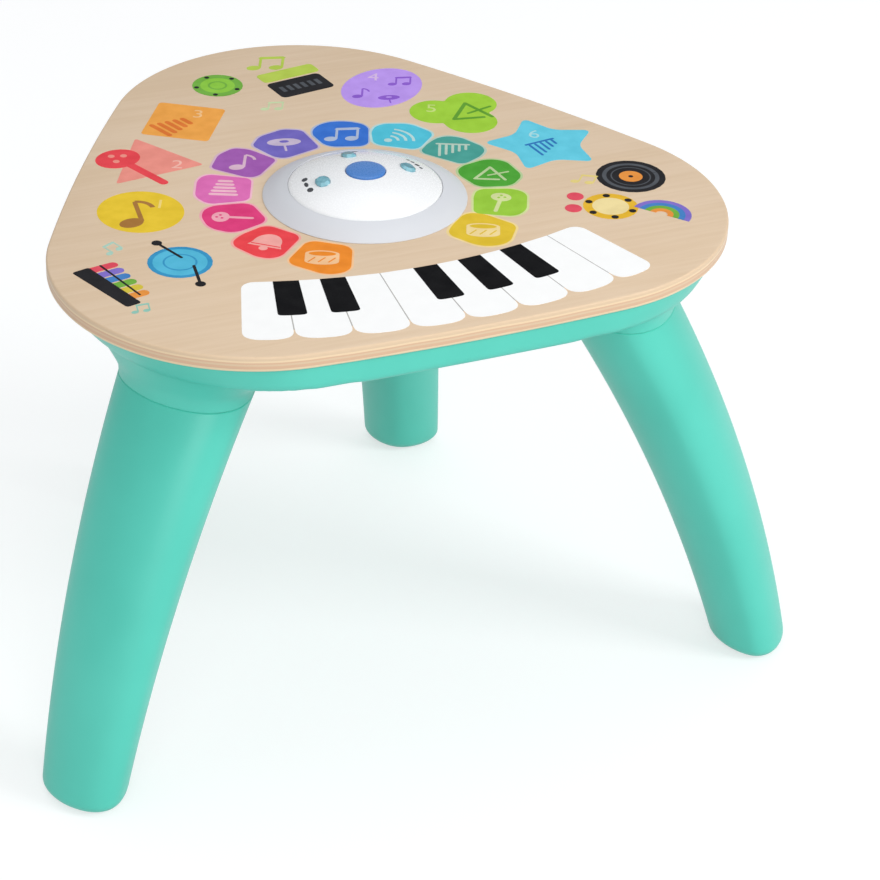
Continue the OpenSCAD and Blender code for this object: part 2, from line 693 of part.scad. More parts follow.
module speaker_magnet() color("#55575b") at_axis() at_speaker()
    translate([0, 0, floor_top + frame_top]) cylinder(r = magnet_r, h = magnet_t);

// Battery box: open downwards, with a flange on the floor of the base
cell_z = floor_top + 0.5 + cell_d / 2;
box_top = cell_z + cell_d / 2 + 0.3 + box_wall;
flange_h = 2;
flange_out = 3;
flange_screw_y = 20;
door_post_r = 4;
door_post_h = 9;
function flange_spots() = [for (sx = [-1, 1], sy = [-1, 1])
    [sx * (open_len / 2 + box_flange / 2), door_ear / 2 + sy * flange_screw_y]];
module battery_box() color(black) at_axis() at_battery() difference() {
    union() {
        translate([-box_len / 2, -box_w / 2, floor_top]) cube([box_len, box_w, box_top - floor_top]);
        translate([-open_len / 2 - box_flange, -open_w / 2 - flange_out, floor_top])
            cube([open_len + 2 * box_flange, open_w + door_ear + flange_out + box_flange, flange_h]);
        translate([door_screw_spot[0], door_screw_spot[1], floor_top])
            cylinder(r = door_post_r, h = door_post_h, $fn = 32);
    }
    translate([-box_len / 2 + box_wall, -box_w / 2 + box_wall, floor_top - 1])
        cube([box_len - 2 * box_wall, box_w - 2 * box_wall, box_top - floor_top + 1 - box_wall]);
    translate([door_screw_spot[0], door_screw_spot[1], floor_top - 1])
        cylinder(r = small_screw_r + screw_gap, h = door_post_h - 1, $fn = 24);
    for (p = flange_spots()) translate([p[0], p[1], floor_top - 1])
        cylinder(r = small_screw_r + screw_gap, h = flange_h + 2, $fn = 24);
}
cell_pitch = cell_d + cell_gap;
inner_len = box_len - 2 * box_wall;
plate_t = 0.4;
nub_len = 1;
nub_r = 2.75;
// The middle cell lies the other way round
module at_cell(i) translate([0, (i - 2) * cell_pitch, cell_z]) rotate([0, 90, i == 2 ? 180 : 0]) children();
cell_start = inner_len / 2 - plate_t - nub_len - cell_len;
module battery(i) color("#c8a53a") at_axis() at_battery() at_cell(i) translate([0, 0, cell_start]) {
    cylinder(r = cell_d / 2, h = cell_len, $fn = 48);
    translate([0, 0, cell_len - eps]) cylinder(r = nub_r, h = nub_len + eps, $fn = 32);
}
module battery_1() battery(1);
module battery_2() battery(2);
module battery_3() battery(3);
plate_w = 10;
coil_h = cell_start + inner_len / 2 - plate_t;
coil_foot_r = 4.6;
coil_tip_r = 2.6;
coil_wire = 0.35;
module battery_contacts() color(steel) at_axis() at_battery() for (i = [1 : 3]) at_cell(i) {
    for (z = [-inner_len / 2, inner_len / 2 - plate_t])
        translate([-plate_w / 2, -plate_w / 2, z]) cube([plate_w, plate_w, plate_t]);
    translate([0, 0, plate_t - inner_len / 2 + 2 * eps])
        skin(coil_rings(coil_foot_r, coil_tip_r, coil_h - 4 * eps, coil_wire, 3, 12, 6));
}

module battery_door() color(teal) at_axis() at_battery() difference() {
    union() {
        translate([0, 0, floor_z]) linear_extrude(base_wall) door_plan(-fit_gap);
        for (i = [-1 : 1]) translate([-7, -open_w / 2 + 6 + 2.6 * i, floor_z - 0.6]) cube([14, 1.2, 1]);
    }
    translate([door_screw_spot[0], door_screw_spot[1], floor_z - 1]) {
        cylinder(r = small_screw_r + 0.15, h = base_wall + 2, $fn = 24);
        cylinder(r = small_head_r + 0.3, h = small_head_t + 1, $fn = 32);
    }
}
module door_screw() color(steel) at_axis() at_battery()
    translate([door_screw_spot[0], door_screw_spot[1], floor_z]) difference() {
        union() {
            cylinder(r = small_head_r, h = small_head_t, $fn = 32);
            cylinder(r = small_screw_r, h = base_wall + 6, $fn = 24);
        }
        for (a = [0, 90]) rotate(a) translate([-1.4, -0.3, -1]) cube([2.8, 0.6, 1.6]);
    }

// Power slider: rests at off, slides towards +X to low and high
slider_flange_t = 1.5;
slider_rest_x = -switch_travel / 2;
slider_lift = fit_gap / 2;
grip_step = 2.4;
peg = [3, 2.4];
peg_reach = 1.6;
switch_z = floor_top + switch_post_h;
module power_slider() color(white) at_axis() at_switch() translate([slider_rest_x, 0, 0]) difference() {
    union() {
        translate([-slider_len / 2, -slider_w / 2, floor_z - slider_proud])
            cube([slider_len, slider_w, slider_proud - slider_lift]);
        translate([-neck_len / 2, -slot_w / 2 + fit_gap, floor_z - slider_proud])
            cube([neck_len, slot_w - 2 * fit_gap, slider_proud + base_wall + slider_lift + slider_flange_t]);
        translate([-slider_len / 2, -slider_w / 2, floor_top + slider_lift])
            cube([slider_len, slider_w, slider_flange_t]);
        translate([-peg[0] / 2, -peg[1] / 2, floor_top + slider_lift])
            cube([peg[0], peg[1], switch_z + peg_reach - floor_top - slider_lift]);
    }
    for (i = [-1 : 1]) translate([grip_step * i - 0.5, -slider_w / 2 - 1, floor_z - slider_proud - 1])
        cube([1, slider_w + 2, 1.5]);
}
switch_case = [20, 6.8, 5];
switch_plate = [2 * switch_ear + 6, switch_case[1], 0.8];
module slide_switch() color(steel) at_axis() at_switch() difference() {
    for (part = [switch_plate, switch_case])
        translate([-part[0] / 2, -part[1] / 2, switch_z]) cube(part);
    for (s = [-1, 1]) translate([s * switch_ear, 0, switch_z - 1])
        cylinder(r = 1 + screw_gap, h = 3, $fn = 24);
    translate([-(peg[0] + switch_travel) / 2 - fit_gap, -peg[1] / 2 - fit_gap, switch_z - 1])
        cube([peg[0] + switch_travel + 2 * fit_gap, peg[1] + 2 * fit_gap, peg_reach + fit_gap + 1]);
}

// Fasteners
module wood_screw(seat_z, tip_z) {
    translate([0, 0, seat_z - 1.8]) cylinder(r = wood_head_r, h = 1.8, $fn = 32);
    translate([0, 0, seat_z - eps]) cylinder(r = wood_screw_r, h = tip_z - seat_z, $fn = 24);
}
module wood_screws() color(steel) {
    at_axis() for (p = side_spots()) translate([p[0], p[1], 0]) wood_screw(head_seat_z, ply_z + wood_bite);
    at_module() for (p = cup_spots()) translate([p[0], p[1], 0]) wood_screw(cup_z, ply_z + wood_bite);
}
module small_screw(seat_z, bite) translate([0, 0, seat_z]) {
    cylinder(r = small_head_r, h = small_head_t, $fn = 32);
    translate([0, 0, -bite]) cylinder(r = small_screw_r, h = bite + eps, $fn = 24);
}
module small_screws() color(steel) {
    at_module() for (p = led_posts()) translate([p[0], p[1], 0]) small_screw(led_board_top, board_t + 2.4);
    at_axis() at_main_board() for (p = corners(main_board_size, board_edge))
        translate([p[0], p[1], 0]) small_screw(main_board_z + board_t, board_t + 3.6);
    at_axis() at_speaker() for (p = speaker_spots()) translate([p[0], p[1], 0])
        small_screw(floor_top + frame_t, frame_t + small_bite - 0.1);
    at_axis() at_battery() for (p = flange_spots()) translate([p[0], p[1], 0])
        small_screw(floor_top + flange_h, flange_h + small_bite - 0.1);
}

top_panel();
touch_film();
base_shell();
leg_front_left();
leg_front_right();
leg_rear_left();
leg_rear_right();
foot_pad_front_left();
foot_pad_front_right();
foot_pad_rear_left();
foot_pad_rear_right();
centre_cup();
light_ring();
dome_cover();
mode_button();
button_spring();
spring_seat();
tact_switch();
mode_lens_left();
mode_lens_back();
mode_lens_right();
led_board();
leds();
main_board();
board_components();
speaker_frame();
speaker_cone();
speaker_magnet();
battery_box();
battery_1();
battery_2();
battery_3();
battery_contacts();
battery_door();
door_screw();
power_slider();
slide_switch();
wood_screws();
small_screws();
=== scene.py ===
"""Dresses the musical activity table: plywood touch top, moulded base, legs and centre dome.

The frame is the table's own: +Z up, -Y the piano side, the origin on the floor under the
middle of the footprint. Lengths are millimetres until they reach Blender, which gets metres.
"""
import logging
import math
from contextlib import contextmanager
from dataclasses import dataclass, field
from enum import Enum
from typing import Callable, Iterator, Optional, Sequence

import bpy
from mathutils import Matrix, Vector


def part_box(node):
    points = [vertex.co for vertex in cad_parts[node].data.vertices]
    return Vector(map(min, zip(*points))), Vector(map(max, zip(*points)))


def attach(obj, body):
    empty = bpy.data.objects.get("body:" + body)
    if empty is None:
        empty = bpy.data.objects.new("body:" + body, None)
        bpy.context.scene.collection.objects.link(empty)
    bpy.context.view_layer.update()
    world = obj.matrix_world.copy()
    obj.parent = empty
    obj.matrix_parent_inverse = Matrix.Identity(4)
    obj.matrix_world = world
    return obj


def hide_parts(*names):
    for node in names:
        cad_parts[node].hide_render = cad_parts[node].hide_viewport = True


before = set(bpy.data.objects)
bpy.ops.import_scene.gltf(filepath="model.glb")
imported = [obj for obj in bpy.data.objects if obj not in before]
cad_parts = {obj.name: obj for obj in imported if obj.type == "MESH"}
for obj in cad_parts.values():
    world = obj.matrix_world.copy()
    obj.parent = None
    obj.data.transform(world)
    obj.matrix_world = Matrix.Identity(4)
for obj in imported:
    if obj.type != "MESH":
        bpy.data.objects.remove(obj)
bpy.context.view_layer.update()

MM = 0.001
SAME_HEIGHT = 1e-5  # metres
log = logging.getLogger("activity_table")

Point = tuple[float, float]
Outline = list[Point]


class Body(Enum):
    """The bodies of the frame that pieces ride on."""

    TABLE = "table"
    BUTTON = "mode_button_body"


class Slot(Enum):
    """The record's material slots by name; no piece here is given one."""

    WOOD = "birch_ply"
    TEAL = "teal_plastic"
    WHITE = "white_plastic"
    RING = "ring_plastic"
    BLUE = "blue_plastic"
    LENS = "lens_plastic"


# ---------------------------------------------------------------------------------------
# Colours, nodes and finishes


def linear(colour: str, alpha: float = 1.0) -> tuple[float, float, float, float]:
    """Turns an sRGB hex colour into linear RGBA.

    Args:
        colour: The colour as "#rrggbb".
        alpha: The fourth value.

    Returns:
        The four values that a Blender colour socket takes.
    """
    parts = [int(colour[i:i + 2], 16) / 255 for i in (1, 3, 5)]
    steps = [p / 12.92 if p <= 0.04045 else ((p + 0.055) / 1.055) ** 2.4 for p in parts]
    return (steps[0], steps[1], steps[2], alpha)


def blend_hex(colour: str, other: str, share: float) -> str:
    """Mixes two hex colours.

    Args:
        colour: The first colour.
        other: The second colour.
        share: How much of the second colour goes in, from 0 to 1.

    Returns:
        The mixed colour as "#rrggbb".
    """
    pairs = [(int(colour[i:i + 2], 16), int(other[i:i + 2], 16)) for i in (1, 3, 5)]
    return "#" + "".join(f"{round(a + (b - a) * share):02x}" for a, b in pairs)


def add_node(
    tree: bpy.types.NodeTree,
    kind: str,
    inputs: Optional[dict] = None,
    **settings: object,
) -> bpy.types.Node:
    """Adds one shader node with its settings, values and links.

    Args:
        tree: The node tree that gets the node.
        kind: The node's type without its "ShaderNode" prefix.
        inputs: Values or output sockets by input name or number.
        settings: Attributes of the node itself.

    Returns:
        The new node.
    """
    node = tree.nodes.new("ShaderNode" + kind)
    for name, value in settings.items():
        setattr(node, name, value)
    for name, value in (inputs or {}).items():
        if isinstance(value, bpy.types.NodeSocket):
            tree.links.new(value, node.inputs[name])
        else:
            node.inputs[name].default_value = value
    return node


def set_ramp(node: bpy.types.Node, stops: Sequence[tuple[float, str]], stepped: bool = False) -> None:
    """Gives a colour ramp its stops.

    Args:
        node: The ColorRamp node.
        stops: Position and hex colour of each stop, from low to high.
        stepped: True for bands with hard borders.
    """
    ramp = node.color_ramp
    ramp.interpolation = "CONSTANT" if stepped else "LINEAR"
    while len(ramp.elements) < len(stops):
        ramp.elements.new(1.0)
    for element, (place, colour) in zip(ramp.elements, stops):
        element.position = place
        element.color = linear(colour)


def start_material(name: str) -> tuple[bpy.types.Material, bpy.types.NodeTree, bpy.types.Node]:
    """Makes an empty node material with a Principled surface.

    Args:
        name: The material's name.

    Returns:
        The material, its node tree and its Principled node.
    """
    material = bpy.data.materials.new(name)
    material.use_nodes = True
    tree = material.node_tree
    return material, tree, tree.nodes["Principled BSDF"]


def grain_noise(
    tree: bpy.types.NodeTree, size: Sequence[float], detail: float = 3.0
) -> bpy.types.NodeSocket:
    """Noise in the object's own coordinates.

    Args:
        tree: The node tree.
        size: Length of one patch along X, Y and Z, in millimetres.
        detail: Octaves of finer noise.

    Returns:
        The noise value's socket, from 0 to 1.
    """
    place = add_node(tree, "TexCoord").outputs["Object"]
    scale = tuple(1 / (s * MM) for s in size)
    mapped = add_node(tree, "Mapping", {"Vector": place, "Scale": scale}).outputs["Vector"]
    noise = add_node(tree, "TexNoise", {"Vector": mapped, "Scale": 1.0, "Detail": detail})
    return noise.outputs["Fac"]


def spread(
    tree: bpy.types.NodeTree, value: bpy.types.NodeSocket, low: float, high: float
) -> bpy.types.NodeSocket:
    """Maps the useful part of a noise value, 0.3 to 0.7, to a range.

    Args:
        tree: The node tree.
        value: The noise value.
        low: Result at the low end.
        high: Result at the high end.

    Returns:
        The mapped value's socket.
    """
    limits = {"Value": value, "From Min": 0.3, "From Max": 0.7, "To Min": low, "To Max": high}
    return add_node(tree, "MapRange", limits).outputs["Result"]


def add_bump(
    tree: bpy.types.NodeTree,
    shader: bpy.types.Node,
    height: bpy.types.NodeSocket,
    depth: float,
    strength: float = 1.0,
) -> None:
    """Feeds a height into the shader's normal.

    Args:
        tree: The node tree.
        shader: The Principled node.
        height: The height value, from 0 to 1.
        depth: Height of the relief in millimetres.
        strength: Share of the relief that shows.
    """
    bump = add_node(tree, "Bump", {"Height": height, "Distance": depth * MM, "Strength": strength})
    tree.links.new(bump.outputs["Normal"], shader.inputs["Normal"])


class Finish:
    """Base of the finishes: each builds its material once."""

    name: str

    def build(self) -> bpy.types.Material:
        """Builds the material."""
        raise NotImplementedError

    def material(self) -> bpy.types.Material:
        """The finish's material, made when it is first asked for."""
        return bpy.data.materials.get(self.name) or self.build()


@dataclass(frozen=True)
class MouldedPlastic(Finish):
    """ABS from a steel mould: an even colour, a soft sheen and the mould's faint waviness."""

    name: str
    colour: str
    roughness: float = 0.42
    roughness_swing: float = 0.06
    tone_swing: float = 0.05
    patch: float = 60.0
    skin_grain: float = 0.9
    skin_depth: float = 0.012
    coat: float = 0.0

    def build(self) -> bpy.types.Material:
        """Builds the plastic: slow patches in tone and sheen, a fine skin in relief.

        Returns:
            The new material.
        """
        material, tree, shader = start_material(self.name)
        patches = grain_noise(tree, [self.patch] * 3, 2.0)
        tones = add_node(tree, "ValToRGB", {"Fac": spread(tree, patches, 0.0, 1.0)})
        set_ramp(tones, [
            (0.0, blend_hex(self.colour, "#000000", self.tone_swing)),
            (1.0, blend_hex(self.colour, "#ffffff", self.tone_swing)),
        ])
        tree.links.new(tones.outputs["Color"], shader.inputs["Base Color"])
        skin = grain_noise(tree, [self.skin_grain] * 3, 2.0)
        low = self.roughness - self.roughness_swing
        high = self.roughness + self.roughness_swing
        tree.links.new(spread(tree, skin, low, high), shader.inputs["Roughness"])
        shader.inputs["IOR"].default_value = 1.53
        shader.inputs["Coat Weight"].default_value = self.coat
        shader.inputs["Coat Roughness"].default_value = 0.12
        add_bump(tree, shader, skin, self.skin_depth)
        return material


@dataclass(frozen=True)
class TintedPolycarbonate(Finish):
    """Tinted polycarbonate light pipe: clear pale faces, and painted shade, a deeper colour, where a cut
    face slants away from the view.
    """

    name: str
    colour: str
    # colour of the painted shade on faces that slant away from the view
    deep: str
    grain: float = 4.0

    def build(self) -> bpy.types.Material:
        """Builds the light pipe: some light passes through, cloudy inside, with painted shade where a face
        is seen at a slant.

        Returns:
            The new material.
        """
        material, tree, shader = start_material(self.name)
        cloud = grain_noise(tree, [self.grain] * 3, 2.0)
        # Painted shade: the colour deepens from the pale tint to the deep one as a face turns away from
        # the view
        slant = add_node(tree, "LayerWeight", {"Blend": 0.45}).outputs["Facing"]
        depth = {0: spread(tree, cloud, -0.12, 0.12), 1: slant}
        painted_shade = add_node(tree, "Math", depth, operation="ADD").outputs["Value"]
        tones = add_node(tree, "ValToRGB", {"Fac": painted_shade})
        set_ramp(tones, [(0.35, self.colour), (0.7, self.deep)])
        tree.links.new(tones.outputs["Color"], shader.inputs["Base Color"])
        tree.links.new(spread(tree, cloud, 0.08, 0.16), shader.inputs["Roughness"])
        shader.inputs["IOR"].default_value = 1.58
        shader.inputs["Transmission Weight"].default_value = 0.25
        shader.inputs["Coat Weight"].default_value = 0.6
        shader.inputs["Coat Roughness"].default_value = 0.05
        return material


@dataclass(frozen=True)
class BirchPlywood(Finish):
    """Lacquered birch plywood: pale even faces with faint grain, and layers along the edge."""

    underside_z: float
    thickness: float
    name: str = "birch_plywood"
    face_light: str = "#e0c7aa"
    face_dark: str = "#dabf9f"
    pore: str = "#cfae8c"
    long_ply: str = "#ecd2ae"
    cross_ply: str = "#dcb594"
    outer_ply: str = "#dfc3a2"
    streak_length: float = 90.0
    streak_width: float = 1.7
    cloud: float = 70.0
    wander: float = 0.25

    def build(self) -> bpy.types.Material:
        """Builds the wood: the face's grain runs along X, the edge shows its layers.

        Returns:
            The new material.
        """
        material, tree, shader = start_material(self.name)
        colour = add_node(tree, "Mix", {
            "Factor": self.face_mask(tree),
            "A": self.edge_colour(tree),
            "B": self.face_colour(tree),
        }, data_type="RGBA")
        tree.links.new(colour.outputs["Result"], shader.inputs["Base Color"])
        fibre = grain_noise(tree, [self.streak_length / 3, self.streak_width / 2, 2.0], 4.0)
        tree.links.new(spread(tree, fibre, 0.42, 0.56), shader.inputs["Roughness"])
        shader.inputs["IOR"].default_value = 1.48
        shader.inputs["Coat Weight"].default_value = 0.12
        shader.inputs["Coat Roughness"].default_value = 0.3
        add_bump(tree, shader, fibre, 0.03, 0.6)
        return material

    def face_mask(self, tree: bpy.types.NodeTree) -> bpy.types.NodeSocket:
        """One where the surface faces up or down, zero along the edge.

        Args:
            tree: The material's node tree.

        Returns:
            The mask.
        """
        normal = add_node(tree, "NewGeometry").outputs["Normal"]
        up = add_node(tree, "SeparateXYZ", {"Vector": normal}).outputs["Z"]
        level = add_node(tree, "Math", {0: up}, operation="ABSOLUTE").outputs["Value"]
        limits = {"Value": level, "From Min": 0.86, "From Max": 0.97}
        return add_node(tree, "MapRange", limits).outputs["Result"]

    def face_colour(self, tree: bpy.types.NodeTree) -> bpy.types.NodeSocket:
        """The veneer: slow clouds, long streaks and short dark pores.

        Args:
            tree: The material's node tree.

        Returns:
            The colour.
        """
        clouds = grain_noise(tree, [self.cloud * 2, self.cloud, self.cloud], 2.0)
        streaks = grain_noise(tree, [self.streak_length, self.streak_width * 2.5, 9.0], 4.0)
        pores = grain_noise(tree, [self.streak_length / 6, self.streak_width / 2.4, 9.0], 2.0)
        soft = add_node(tree, "Mix", {"Factor": 0.55, "A": clouds, "B": streaks}, data_type="FLOAT")
        base = add_node(tree, "ValToRGB", {"Fac": soft.outputs["Result"]})
        set_ramp(base, [(0.38, self.face_dark), (0.6, self.face_light)])
        spots = {"Value": pores, "From Min": 0.66, "From Max": 0.8, "To Min": 0.0, "To Max": 0.45}
        share = add_node(tree, "MapRange", spots).outputs["Result"]
        dark = linear(self.pore)
        mix = add_node(
            tree, "Mix", {"Factor": share, "A": base.outputs["Color"], "B": dark}, data_type="RGBA")
        return mix.outputs["Result"]

    def edge_colour(self, tree: bpy.types.NodeTree) -> bpy.types.NodeSocket:
        """The layers: long grain pale, cross grain darker, the top one in the face's colour.

        Args:
            tree: The material's node tree.

        Returns:
            The colour.
        """
        place = add_node(tree, "TexCoord").outputs["Object"]
        height = add_node(tree, "SeparateXYZ", {"Vector": place}).outputs["Z"]
        sway = grain_noise(tree, [40.0, 40.0, 40.0], 1.0)
        shift = spread(tree, sway, -self.wander * MM, self.wander * MM)
        wavy = add_node(tree, "Math", {0: height, 1: shift}, operation="ADD").outputs["Value"]
        low = self.underside_z * MM
        high = (self.underside_z + self.thickness) * MM
        depth = add_node(tree, "MapRange", {"Value": wavy, "From Min": low, "From Max": high})
        layers = add_node(tree, "ValToRGB", {"Fac": depth.outputs["Result"]})
        set_ramp(layers, [
            (0.0, self.long_ply), (0.2, self.cross_ply), (0.4, self.outer_ply),
            (0.52, self.cross_ply), (0.62, self.long_ply), (0.74, self.outer_ply),
        ], stepped=True)
        return layers.outputs["Color"]


@dataclass(frozen=True)
class ScreenInk(Finish):
    """Screen-printed ink: flat opaque colour, a little uneven, with a dull satin skin."""

    name: str
    colour: str
    mesh_grain: float = 0.5
    patch: float = 12.0
    sheen: float = 0.12
    swing: float = 0.035

    def build(self) -> bpy.types.Material:
        """Builds the ink: the screen's fine mesh and slow patches where it lies thicker.

        Returns:
            The new material.
        """
        material, tree, shader = start_material(self.name)
        patches = grain_noise(tree, [self.patch] * 3, 3.0)
        tones = add_node(tree, "ValToRGB", {"Fac": patches})
        set_ramp(tones, [
            (0.35, blend_hex(self.colour, "#000000", self.swing)),
            (0.65, blend_hex(self.colour, "#ffffff", self.swing)),
        ])
        tree.links.new(tones.outputs["Color"], shader.inputs["Base Color"])
        mesh = grain_noise(tree, [self.mesh_grain] * 3, 1.0)
        tree.links.new(spread(tree, mesh, 0.45, 0.6), shader.inputs["Roughness"])
        shader.inputs["Specular IOR Level"].default_value = self.sheen
        add_bump(tree, shader, mesh, 0.01, 0.5)
        return material


@dataclass(frozen=True)
class PlatedSteel(Finish):
    """Zinc-plated steel: bright, with short drawn scratches."""

    name: str = "zinc_plated_steel"
    colour: str = "#b4b7bb"
    roughness: float = 0.34
    scratch_length: float = 6.0
    scratch_width: float = 0.15

    def build(self) -> bpy.types.Material:
        """Builds the metal: scratches along X vary its sheen.

        Returns:
            The new material.
        """
        material, tree, shader = start_material(self.name)
        scratch = grain_noise(tree, [self.scratch_length, self.scratch_width, self.scratch_width])
        tones = add_node(tree, "ValToRGB", {"Fac": scratch})
        set_ramp(tones, [
            (0.3, blend_hex(self.colour, "#000000", 0.15)),
            (0.7, blend_hex(self.colour, "#ffffff", 0.1)),
        ])
        tree.links.new(tones.outputs["Color"], shader.inputs["Base Color"])
        rough = spread(tree, scratch, self.roughness - 0.08, self.roughness + 0.1)
        tree.links.new(rough, shader.inputs["Roughness"])
        shader.inputs["Metallic"].default_value = 1.0
        add_bump(tree, shader, scratch, 0.008)
        return material


@dataclass(frozen=True)
class CellSleeve(Finish):
    """Printed shrink sleeve of a dry cell: black body, copper-coloured positive end."""

    name: str = "shrink_sleeve"
    body: str = "#2a2b2e"
    band: str = "#b9793a"
    start: float = 14.0

    def build(self) -> bpy.types.Material:
        """Builds the sleeve: the colour changes along the cell's length, which is X.

        Returns:
            The new material.
        """
        material, tree, shader = start_material(self.name)
        place = add_node(tree, "TexCoord").outputs["Object"]
        along = add_node(tree, "SeparateXYZ", {"Vector": place}).outputs["X"]
        limits = {"Value": along, "From Min": (self.start - 0.4) * MM, "From Max": self.start * MM}
        share = add_node(tree, "MapRange", limits).outputs["Result"]
        both = {"Factor": share, "A": linear(self.body), "B": linear(self.band)}
        mix = add_node(tree, "Mix", both, data_type="RGBA")
        tree.links.new(mix.outputs["Result"], shader.inputs["Base Color"])
        wrap = grain_noise(tree, [3.0, 3.0, 3.0])
        tree.links.new(spread(tree, wrap, 0.22, 0.34), shader.inputs["Roughness"])
        shader.inputs["Metallic"].default_value = 0.35
        return material


# ABS from a finely eroded mould: even teal with a broad satin shine
TEAL_ABS = MouldedPlastic("teal_abs", "#54cfbb", roughness=0.4, tone_swing=0.02)
# ABS from a polished mould: clean white with a clear highlight
WHITE_ABS = MouldedPlastic(
    "white_abs", "#f3f4f5", roughness=0.26, tone_swing=0.01, skin_depth=0.003, coat=0.3)
# Polypropylene that light shines through: milky grey, a little waxy
RING_DIFFUSER = MouldedPlastic(
    "grey_polypropylene", "#d4d6db", roughness=0.36, tone_swing=0.015, skin_depth=0.006)
# ABS from a polished mould: deep blue with a clear highlight
BUTTON_ABS = MouldedPlastic("blue_abs", "#3b7bc8", roughness=0.28, tone_swing=0.02, coat=0.3)
# ABS from a coarse mould: dull black
BLACK_ABS = MouldedPlastic("black_abs", "#27282b", roughness=0.55, skin_depth=0.03)
# Moulded thermoplastic rubber: matt, with a rough skin
PAD_RUBBER = MouldedPlastic("black_tpe_rubber", "#2b2c2e", roughness=0.8, skin_depth=0.05)
# Lacquer over copper tracks: glossy green, lighter where copper lies under it
SOLDER_MASK = MouldedPlastic("green_solder_mask", "#2f6b46", roughness=0.3, patch=9.0, tone_swing=0.12)
# Cast epoxy: smooth and pale yellow
LED_EPOXY = MouldedPlastic("led_epoxy", "#f2eeda", roughness=0.2, tone_swing=0.02)
# Rolled polyimide film over copper: amber, uneven in tone
COPPER_FILM = MouldedPlastic("polyimide_film", "#c9873f", roughness=0.35, patch=15.0, tone_swing=0.08)
# Turned and plated magnet cup: dark, with blurred scratches
MAGNET_STEEL = PlatedSteel("magnet_steel", "#5a5c60", 0.45)
# Pressed paper: black and fibrous, with no shine
CONE_PAPER = MouldedPlastic("cone_paper", "#2c2b2b", roughness=0.9, skin_grain=0.6, skin_depth=0.08)
# Drawn or pressed steel with a zinc coat: bright, with fine scratches
STEEL = PlatedSteel()
# Moulded polycarbonate with a pale blue tint: glassy, with painted shade, a deeper blue, at its slanting
# faces
LENS_PC = TintedPolycarbonate("aqua_polycarbonate", "#8ed2e2", "#2f8fa2")

CARRIED_OVER: dict[str, Finish] = {
    "touch_film": COPPER_FILM,
    "foot_pad_front_left": PAD_RUBBER,
    "foot_pad_front_right": PAD_RUBBER,
    "foot_pad_rear_left": PAD_RUBBER,
    "foot_pad_rear_right": PAD_RUBBER,
    "centre_cup": WHITE_ABS,
    "button_spring": STEEL,
    "spring_seat": WHITE_ABS,
    "tact_switch": BLACK_ABS,
    "led_board": SOLDER_MASK,
    "leds": LED_EPOXY,
    "main_board": SOLDER_MASK,
    "board_components": BLACK_ABS,
    "speaker_frame": STEEL,
    "speaker_cone": CONE_PAPER,
    "speaker_magnet": MAGNET_STEEL,
    "battery_box": BLACK_ABS,
    "battery_1": CellSleeve("shrink_sleeve_left", start=-14.0),
    "battery_2": CellSleeve("shrink_sleeve_right", start=14.0),
    "battery_3": CellSleeve("shrink_sleeve_left", start=-14.0),
    "battery_contacts": STEEL,
    "battery_door": TEAL_ABS,
    "door_screw": STEEL,
    "power_slider": WHITE_ABS,
    "slide_switch": STEEL,
    "wood_screws": STEEL,
    "small_screws": STEEL,
}


# ---------------------------------------------------------------------------------------
# Modelling by hand, in code


def metres(x: float, y: float, z: float) -> Vector:
    """A place given in millimetres, in metres."""
    return Vector((x, y, z)) * MM


def deselect() -> None:
    """Leaves edit mode and deselects every object."""
    if bpy.context.object and bpy.context.object.mode != "OBJECT":
        bpy.ops.object.mode_set(mode="OBJECT")
    bpy.ops.object.select_all(action="DESELECT")


def pick(*pieces: bpy.types.Object) -> None:
    """Selects only these objects and makes the first one active."""
    deselect()
    for piece in pieces:
        piece.select_set(True)
    bpy.context.view_layer.objects.active = pieces[0]


@contextmanager
def editing(piece: bpy.types.Object) -> Iterator[bpy.types.Object]:
    """Edit mode on one piece, with all of it selected.

    Args:
        piece: The object to edit.

    Yields:
        The same object.
    """
    pick(piece)
    bpy.ops.object.mode_set(mode="EDIT")
    bpy.ops.mesh.select_all(action="SELECT")
    yield piece
    bpy.ops.object.mode_set(mode="OBJECT")


def add_loop(name: str, points: Sequence[Point], z: float) -> bpy.types.Object:
    """Adds a circle with one vertex per point and lays it on the points.

    Args:
        name: The new object's name.
        points: The loop's corners in order, in millimetres.
        z: The loop's height.

    Returns:
        The new object, a closed loop of edges.
    """
    deselect()
    bpy.ops.mesh.primitive_circle_add(vertices=len(points), radius=MM)
    piece = bpy.context.object
    piece.name = name
    piece.data.name = name
    for vertex, point in zip(piece.data.vertices, points):
        vertex.co = metres(point[0], point[1], z)
    return piece


def join(name: str, pieces: Sequence[bpy.types.Object]) -> bpy.types.Object:
    """Joins objects into the first one.

    Args:
        name: The joined object's name.
        pieces: The objects; all but the first disappear.

    Returns:
        The joined object.
    """
    pick(*pieces)
    if len(pieces) > 1:
        bpy.ops.object.join()
    pieces[0].name = name
    pieces[0].data.name = name
    return pieces[0]


def apply_modifier(piece: bpy.types.Object, kind: str, **settings: object) -> None:
    """Adds a modifier, sets it and applies it.

    Args:
        piece: The object that gets the modifier.
        kind: The modifier's type.
        settings: Attributes of the modifier.
    """
    pick(piece)
    modifier = piece.modifiers.new(kind.title(), kind)
    for name, value in settings.items():
        setattr(modifier, name, value)
    bpy.ops.object.modifier_apply(modifier=modifier.name)


def apply_place(piece: bpy.types.Object) -> None:
    """Moves the object's place, turn and size into its mesh."""
    pick(piece)
    bpy.ops.object.transform_apply(location=True, rotation=True, scale=True)


